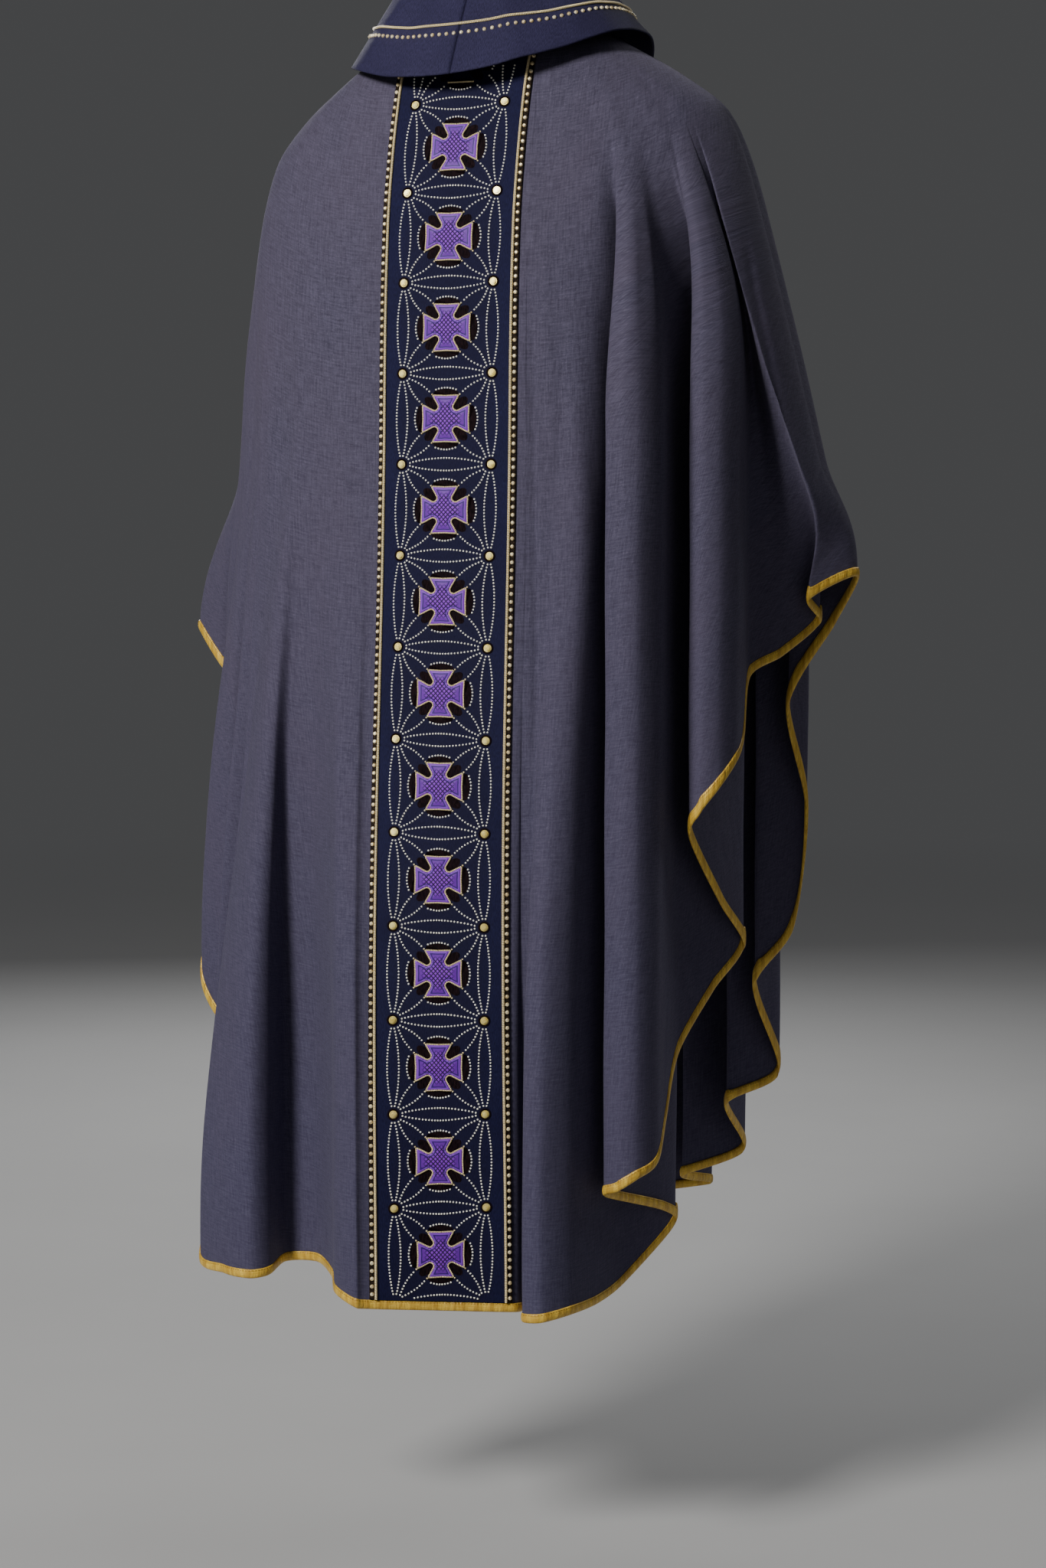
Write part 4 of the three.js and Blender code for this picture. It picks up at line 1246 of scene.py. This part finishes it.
def model_cross(outline):
    """A disc drawn to the outline, cut into a fine grid, then padded by its distance from the edge."""
    start_shape()
    bpy.ops.mesh.primitive_circle_add(vertices=len(outline), radius=CROSS_REACH * MM, fill_type="NGON")
    disc = bpy.context.object.data
    for point, (a, b) in zip(disc.vertices, outline[::-1]):
        point.co = (a * MM, b * MM, 0)
    bpy.ops.object.mode_set(mode="EDIT")
    for cut in np.arange(CUT_FROM, CUT_TO, CUT_PITCH):
        for way in ((1, 0, 0), (0, 1, 0)):
            bpy.ops.mesh.select_all(action="SELECT")
            bpy.ops.mesh.bisect(plane_co=Vector(way) * cut * MM, plane_no=way)
    bpy.ops.mesh.select_all(action="SELECT")
    bpy.ops.mesh.normals_make_consistent(inside=False)
    bpy.ops.mesh.quads_convert_to_tris()
    points, faces = take_shape()
    distance = outline_distance(points[:, :2], outline)
    points[:, 2] = np.interp(distance, PAD[:, 0], PAD[:, 1])
    return points, faces, distance


# %% Thirteen crosses on the band
CROSS_LIFT = 0.1
TIP_OUT, TIP_LIFT = 0.9, 0.3  # the small bead at each corner of an arm
outline = cross_outline()
shape, shape_faces, shape_mask = model_cross(outline)
first, second, third = (shape[shape_faces[0][:, i], :2] for i in range(3))
area = np.cross(second - first, third - first) / 2
drawn = np.cross(outline, np.roll(outline, -1, 0)).sum() / 2
print("cross", np.ptp(shape, axis=0).round(1), "mm,", len(area), "faces, area", area.sum().round(1), "of",
      abs(drawn).round(1), "mm2, faces turned under", int((area < 0).sum()))
points, faces, edge_parts, tips = [], [], [], []
for k in range(CROSS_COUNT):
    zc = cross_z(k)
    points.append(band_frame(shape[:, 0], zc + shape[:, 1], shape[:, 2] + CROSS_LIFT)[0])
    faces.append(shape_faces[0] + k * len(shape))
    loop = np.concatenate([outline, outline[:2]])
    centre, normals = band_frame(loop[:, 0], zc + loop[:, 1], EDGE_LIFT)
    edge_parts.append(tube(centre, normals, EDGE_RADIUS, EDGE_SIDES))
    for sx in (1, -1):
        for sz in (1, -1):
            for a, b in CORNERS:
                tips.append((sx * (a + TIP_OUT), zc + sz * (b + TIP_OUT)))
crosses = add_mesh("violet_crosses", np.concatenate(points), np.concatenate(faces), VIOLET,
                   np.tile(shape[:, :2] * MM, (CROSS_COUNT, 1)), np.tile(shape_mask, CROSS_COUNT))
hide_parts(*["cross_%02d" % (k + 1) for k in range(CROSS_COUNT)])
cross_cords = join_tubes("cross_cords", edge_parts)
tips = np.array(tips)
places, normals = band_frame(tips[:, 0], tips[:, 1], TIP_LIFT)
cross_tips = lay_copies("cross_tips", DOT, places, normals, BEAD)

# one more cross lies under the collar: only the end of its lower arm shows
hidden_z = cross_z(-1)
chord = np.stack([np.linspace(-ARM_HALF, ARM_HALF, 14), np.full(14, -CROSS_REACH)], -1)
centre, normals = band_frame(chord[:, 0], hidden_z + chord[:, 1], EDGE_LIFT)
hidden_arm = join_tubes("cross_arm_under_collar", [tube(centre, normals, EDGE_RADIUS, EDGE_SIDES)])


# %% [markdown]
# ## Collar
# A soft turned-over collar: two halves, each a double layer with a rolled free edge, sewn together
# at the centre back. The COLLAR table gives its section at the sides, back and front, from the neck
# seam up, over and down. A smooth surface runs through the nine rows, with soft swells listed one by one.


# %% Rows of the collar
def neck_seam(x, y):
    """The point on the cloth's neck edge that lies in the direction of (x, y), found by halving."""
    aim = np.arctan2(np.abs(x), y)
    near = np.zeros_like(aim)
    far = np.where(x > 0, FRONT_CENTRE - COUNT, FRONT_CENTRE).astype(float)
    for _ in range(30):
        u = (near + far) / 2
        point = cloth(u, neck_height(u))
        low = np.arctan2(np.abs(point[..., 0]), point[..., 1]) < aim
        near, far = np.where(low, u, near), np.where(low, far, u)
    top = neck_height(near)
    return cloth(near, top) + facing(cloth, near, top) * COLLAR_SEAT


def collar_rows(turn):
    """Points of the nine rows of the section, for each turn about the neck."""
    c, s = np.cos(turn), np.sin(turn)
    rows = []
    for step, (side, to_back, to_front, side_z, back_z, front_z) in enumerate(COLLAR):
        depth = np.where(c > 0, to_back, -to_front)
        tilt = COLLAR_TILT * (step / COLLAR_LAST) ** 2
        x = -side * s
        z = side_z + (np.where(c > 0, back_z, front_z) - side_z) * c * c - x * tilt
        rows.append(neck_seam(x, depth * c) if step == 0 else np.stack([x, depth * c, z], -1))
    return np.stack(rows)


# %% A smooth surface through the rows
def collar_face(turn, step):
    """A smooth surface through the rows; step runs from 0 at the neck seam to 8 at the free edge."""
    rows = collar_rows(turn)
    i = np.clip(np.floor(step).astype(int), 0, COLLAR_LAST - 1)
    pick = np.arange(len(turn))
    a, b, c, d = (rows[np.clip(i + k, 0, COLLAR_LAST), pick] for k in (-1, 0, 1, 2))
    return hermite(b, c, (c - a) / 2, (d - b) / 2, (step - i)[:, None])


def collar_surface(turn, step):
    turn, step = np.broadcast_arrays(np.asarray(turn, float), np.asarray(step, float))
    return collar_face(turn.ravel(), step.ravel()).reshape(*turn.shape, 3)


def collar_facing(turn, step):
    along = collar_surface(turn + 0.02, step) - collar_surface(turn - 0.02, step)
    lower, upper = np.minimum(COLLAR_LAST, step + 0.05), np.maximum(0, step - 0.05)
    down = collar_surface(turn, lower) - collar_surface(turn, upper)
    return -unit(np.cross(along, down))


# %% Soft swells
COLLAR_FOLDS = [  # turn, lean, height (minus is a trough), width
    (0.32, 0.25, 1.6, 0.1), (0.62, 0.3, -1.4, 0.12), (1.05, 0.2, 1.5, 0.14), (1.6, -0.1, -1.6, 0.16),
    (2.2, -0.2, 1.4, 0.14), (2.75, -0.1, -1.3, 0.12), (-0.4, -0.25, -1.5, 0.12), (-0.75, -0.3, 1.6, 0.12),
    (-1.25, -0.15, -1.3, 0.16), (-1.8, 0.1, 1.5, 0.15), (-2.4, 0.2, -1.4, 0.14),
]
FOLD_STEP = 3  # the swells begin near the top, where the collar turns over


def collar_swell(turn, step):
    """Height of the soft swells of the turned-over part."""
    f = np.clip((step - FOLD_STEP) / (COLLAR_LAST - FOLD_STEP), 0, 1)
    total = np.zeros_like(f * turn)
    for at, lean, deep, wide in COLLAR_FOLDS:
        total = total + deep * np.exp(-(((turn - at - lean * (f - 0.5)) / wide) ** 2))
    return total * ease(f * 1.5)


def collar_skin(turn, step, out=0.0):
    """Points on the collar with its swells, and the normals there."""
    turn, step = np.broadcast_arrays(np.asarray(turn, float), np.asarray(step, float))
    point, normal = collar_surface(turn, step), collar_facing(turn, step)
    return point + normal * (collar_swell(turn, step) + out)[..., None], normal


# %% The two halves
COLLAR_TURNS, COLLAR_STEPS, COLLAR_WALL = 121, 65, 2.5
ROLL_OUT = [-0.15, -0.8, -1.4, -2.0, -2.35]  # the rolled edge: height against the outer face
ROLL_DOWN = [0.6, 1.2, 1.4, 1.2, 0.6]  # and reach beyond the last row
RIDGE_TURN = 110  # at the centre back, a turn of one radian is about this long
RIDGE_HIGH, RIDGE_PLACE, RIDGE_WIDE, GROOVE_WIDE = 0.9, 2.0, 1.3, 0.9


def make_collar(name, node, sign):
    turn = sign * np.linspace(0, math.pi, COLLAR_TURNS)
    steps = np.linspace(0, COLLAR_LAST, COLLAR_STEPS)
    step = np.concatenate([steps, np.full(len(ROLL_OUT), float(COLLAR_LAST)), steps[::-1]])
    out = np.concatenate([np.zeros(COLLAR_STEPS), ROLL_OUT, np.full(COLLAR_STEPS, -COLLAR_WALL)])
    grid_turn, grid_step = np.meshgrid(turn, step, indexing="ij")
    points, normal = collar_skin(grid_turn, grid_step, np.broadcast_to(out, grid_turn.shape))
    # the free edge is rolled, and a ridge runs down each side of the centre seam
    down = unit(collar_surface(turn, COLLAR_LAST) - collar_surface(turn, COLLAR_LAST - 0.1))
    roll = slice(COLLAR_STEPS, COLLAR_STEPS + len(ROLL_DOWN))
    points[:, roll] += down[:, None] * np.array(ROLL_DOWN)[None, :, None]
    off = np.abs(grid_turn) * RIDGE_TURN
    ridge = np.exp(-(((off - RIDGE_PLACE) / RIDGE_WIDE) ** 2)) - np.exp(-((off / GROOVE_WIDE) ** 2))
    ridge = ridge * RIDGE_HIGH
    points += normal * (ridge * (out > -1))[..., None]
    points[0, :, 0] -= sign * SEAM / 2
    points[-1, :, 0] -= sign * SEAM / 2
    across, down_run = run_length(points, 0), run_length(points, 1)
    uv = np.stack([across * sign, down_run], -1) * MM
    faces = grid_faces(*grid_turn.shape, True)
    # a flat cap closes each end, at the centre back and the centre front
    high = len(step)
    j = np.arange(high // 2)
    for end, flip in ((0, False), (len(turn) - 1, True)):
        cap = np.stack([j, j + 1, high - 2 - j, high - 1 - j], -1)[: high // 2 - 1] + end * high
        faces = np.concatenate([faces, cap if flip else cap[:, ::-1]])
    faces = faces if sign > 0 else faces[:, ::-1]
    piece = add_mesh(name, points, faces, COLLAR_SATIN, uv)
    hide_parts(node)
    size, last = np.ptp(points.reshape(-1, 3), axis=0), COLLAR_STEPS - 1
    print(name, size.round(0), "mm, section", round(down_run[0, last]), "mm, free edge",
          round(across[-1, last]), "mm")
    return piece


collar_right = make_collar("collar_right_half", "collar_right", 1)
collar_left = make_collar("collar_left_half", "collar_left", -1)

# %% [markdown]
# ## Trimming the collar
# The cord and the seed beads run right round the collar near its free edge, at a fixed step of the
# collar's section, evenly spaced by their length along the line.

# %% Cord and beads on the collar
CORD_STEP, BEAD_STEP = 6.55, 6.85  # on the collar's section, where 8 is the free edge
COLLAR_BEAD_PITCH = 7.6
turn = np.linspace(-math.pi, math.pi, 480)
centre, normal = collar_skin(turn, np.full(len(turn), CORD_STEP), CORD_RADIUS * CORD_SINK)
collar_cord = join_tubes("collar_cord", [tube(centre, normal, CORD_RADIUS, CORD_SIDES)])
line, _ = collar_skin(turn, np.full(len(turn), BEAD_STEP))
run = np.concatenate([[0], np.cumsum(np.linalg.norm(np.diff(line, axis=0), axis=1))])
count = int(run[-1] / COLLAR_BEAD_PITCH)
bead_turn = np.interp((np.arange(count) + 0.5) / count * run[-1], run, turn)
places, normal = collar_skin(bead_turn, np.full(count, BEAD_STEP), 0.1)
collar_beads = lay_copies("collar_beads", BEAD_SHAPE, places, normal, BEAD)

# %% [markdown]

# %% [markdown]
# ## Studio
# A grey floor that fades into the backdrop, and one strong soft key light to the left of the
# camera, so that each fold is bright on its left flank and dark on its right. The other lights
# are weak: they only open the shadows and show the front in the other views.


# %% Studio
def area_light(name, where, aim, size, power, colour=(1, 1, 1)):
    """A round soft light; size in metres, power in watts."""
    data = bpy.data.lights.new(name, "AREA")
    data.shape, data.size, data.energy, data.color = "DISK", size, power, colour
    light = bpy.data.objects.new(name, data)
    bpy.context.scene.collection.objects.link(light)
    light.location = where
    light.rotation_euler = (Vector(aim) - Vector(where)).to_track_quat("-Z", "Y").to_euler()


FLOOR_Z = -1.517
FLOOR_TONE = 0.4
FADE_FROM, FADE_TO = 1.6, 7.0  # metres from the garment, where the floor fades out
WORLD_TONE, WORLD_STRENGTH = (0.72, 0.73, 0.75), 0.09
s = Shader("floor", (FLOOR_TONE,) * 3, 0.8, Specular_IOR_Level=0.0)
grain = s.noise((3, 3, 3), kind="Object", detail=3)
away = s.node("VectorMath", i0=s.node("TexCoord").outputs["Object"])
away.operation = "LENGTH"
# far off, the floor gives way to the world's own tone, so no horizon shows
far = s.span(away.outputs["Value"], FADE_FROM, FADE_TO)
s.put(s.bsdf.inputs["Emission Strength"], s.math("MULTIPLY", far, WORLD_STRENGTH))
s.bsdf.inputs["Emission Color"].default_value = (*WORLD_TONE, 1)
near = s.mix(grain, (FLOOR_TONE * 0.96,) * 3, (FLOOR_TONE * 1.04,) * 3)
floor_material = s.finish(s.mix(far, near, (0.0, 0.0, 0.0)))
bpy.ops.object.select_all(action="DESELECT")
bpy.ops.mesh.primitive_plane_add(size=120, location=(0, 0, FLOOR_Z))
floor = bpy.context.object
floor.name = "floor"
bpy.ops.object.transform_apply(location=True, rotation=False, scale=False)
floor.data.materials.append(floor_material)

area_light("key", (1.25, 3.85, 1.6), (0.0, 0.1, -0.6), 1.1, 250, (1.0, 0.98, 0.95))
area_light("fill", (-2.6, 2.4, 0.8), (0, 0, -0.6), 2.0, 3, (0.93, 0.95, 1.0))
area_light("rim", (-1.6, -2.6, 1.4), (0, 0, -0.6), 1.6, 26)
area_light("front", (1.6, -3.0, 0.7), (0, 0, -0.6), 2.0, 75)
world = bpy.data.worlds.new("studio")
world.use_nodes = True
world.node_tree.nodes["Background"].inputs["Color"].default_value = (*WORLD_TONE, 1)
world.node_tree.nodes["Background"].inputs["Strength"].default_value = WORLD_STRENGTH
bpy.context.scene.world = world

# %% [markdown]
# ## Camera
# It stands 3.3 m away, 20 degrees round from straight behind toward the garment's right, and
# below shoulder height.

# %% Camera
LENS, SENSOR = 75.55, 36.0  # millimetres
CAMERA_PLACE = (-1.149, 3.094, -0.45)
CAMERA_TILT, CAMERA_TURN = 84.87, 200  # degrees
camera = bpy.data.cameras.new("camera")
camera.lens, camera.sensor_width, camera.sensor_fit = LENS, SENSOR, "AUTO"
view = bpy.data.objects.new("camera", camera)
bpy.context.scene.collection.objects.link(view)
view.location = CAMERA_PLACE
view.rotation_euler = (math.radians(CAMERA_TILT), 0, math.radians(CAMERA_TURN))
bpy.context.scene.camera = view
print("camera", round(view.location.length, 2), "m from the neck")
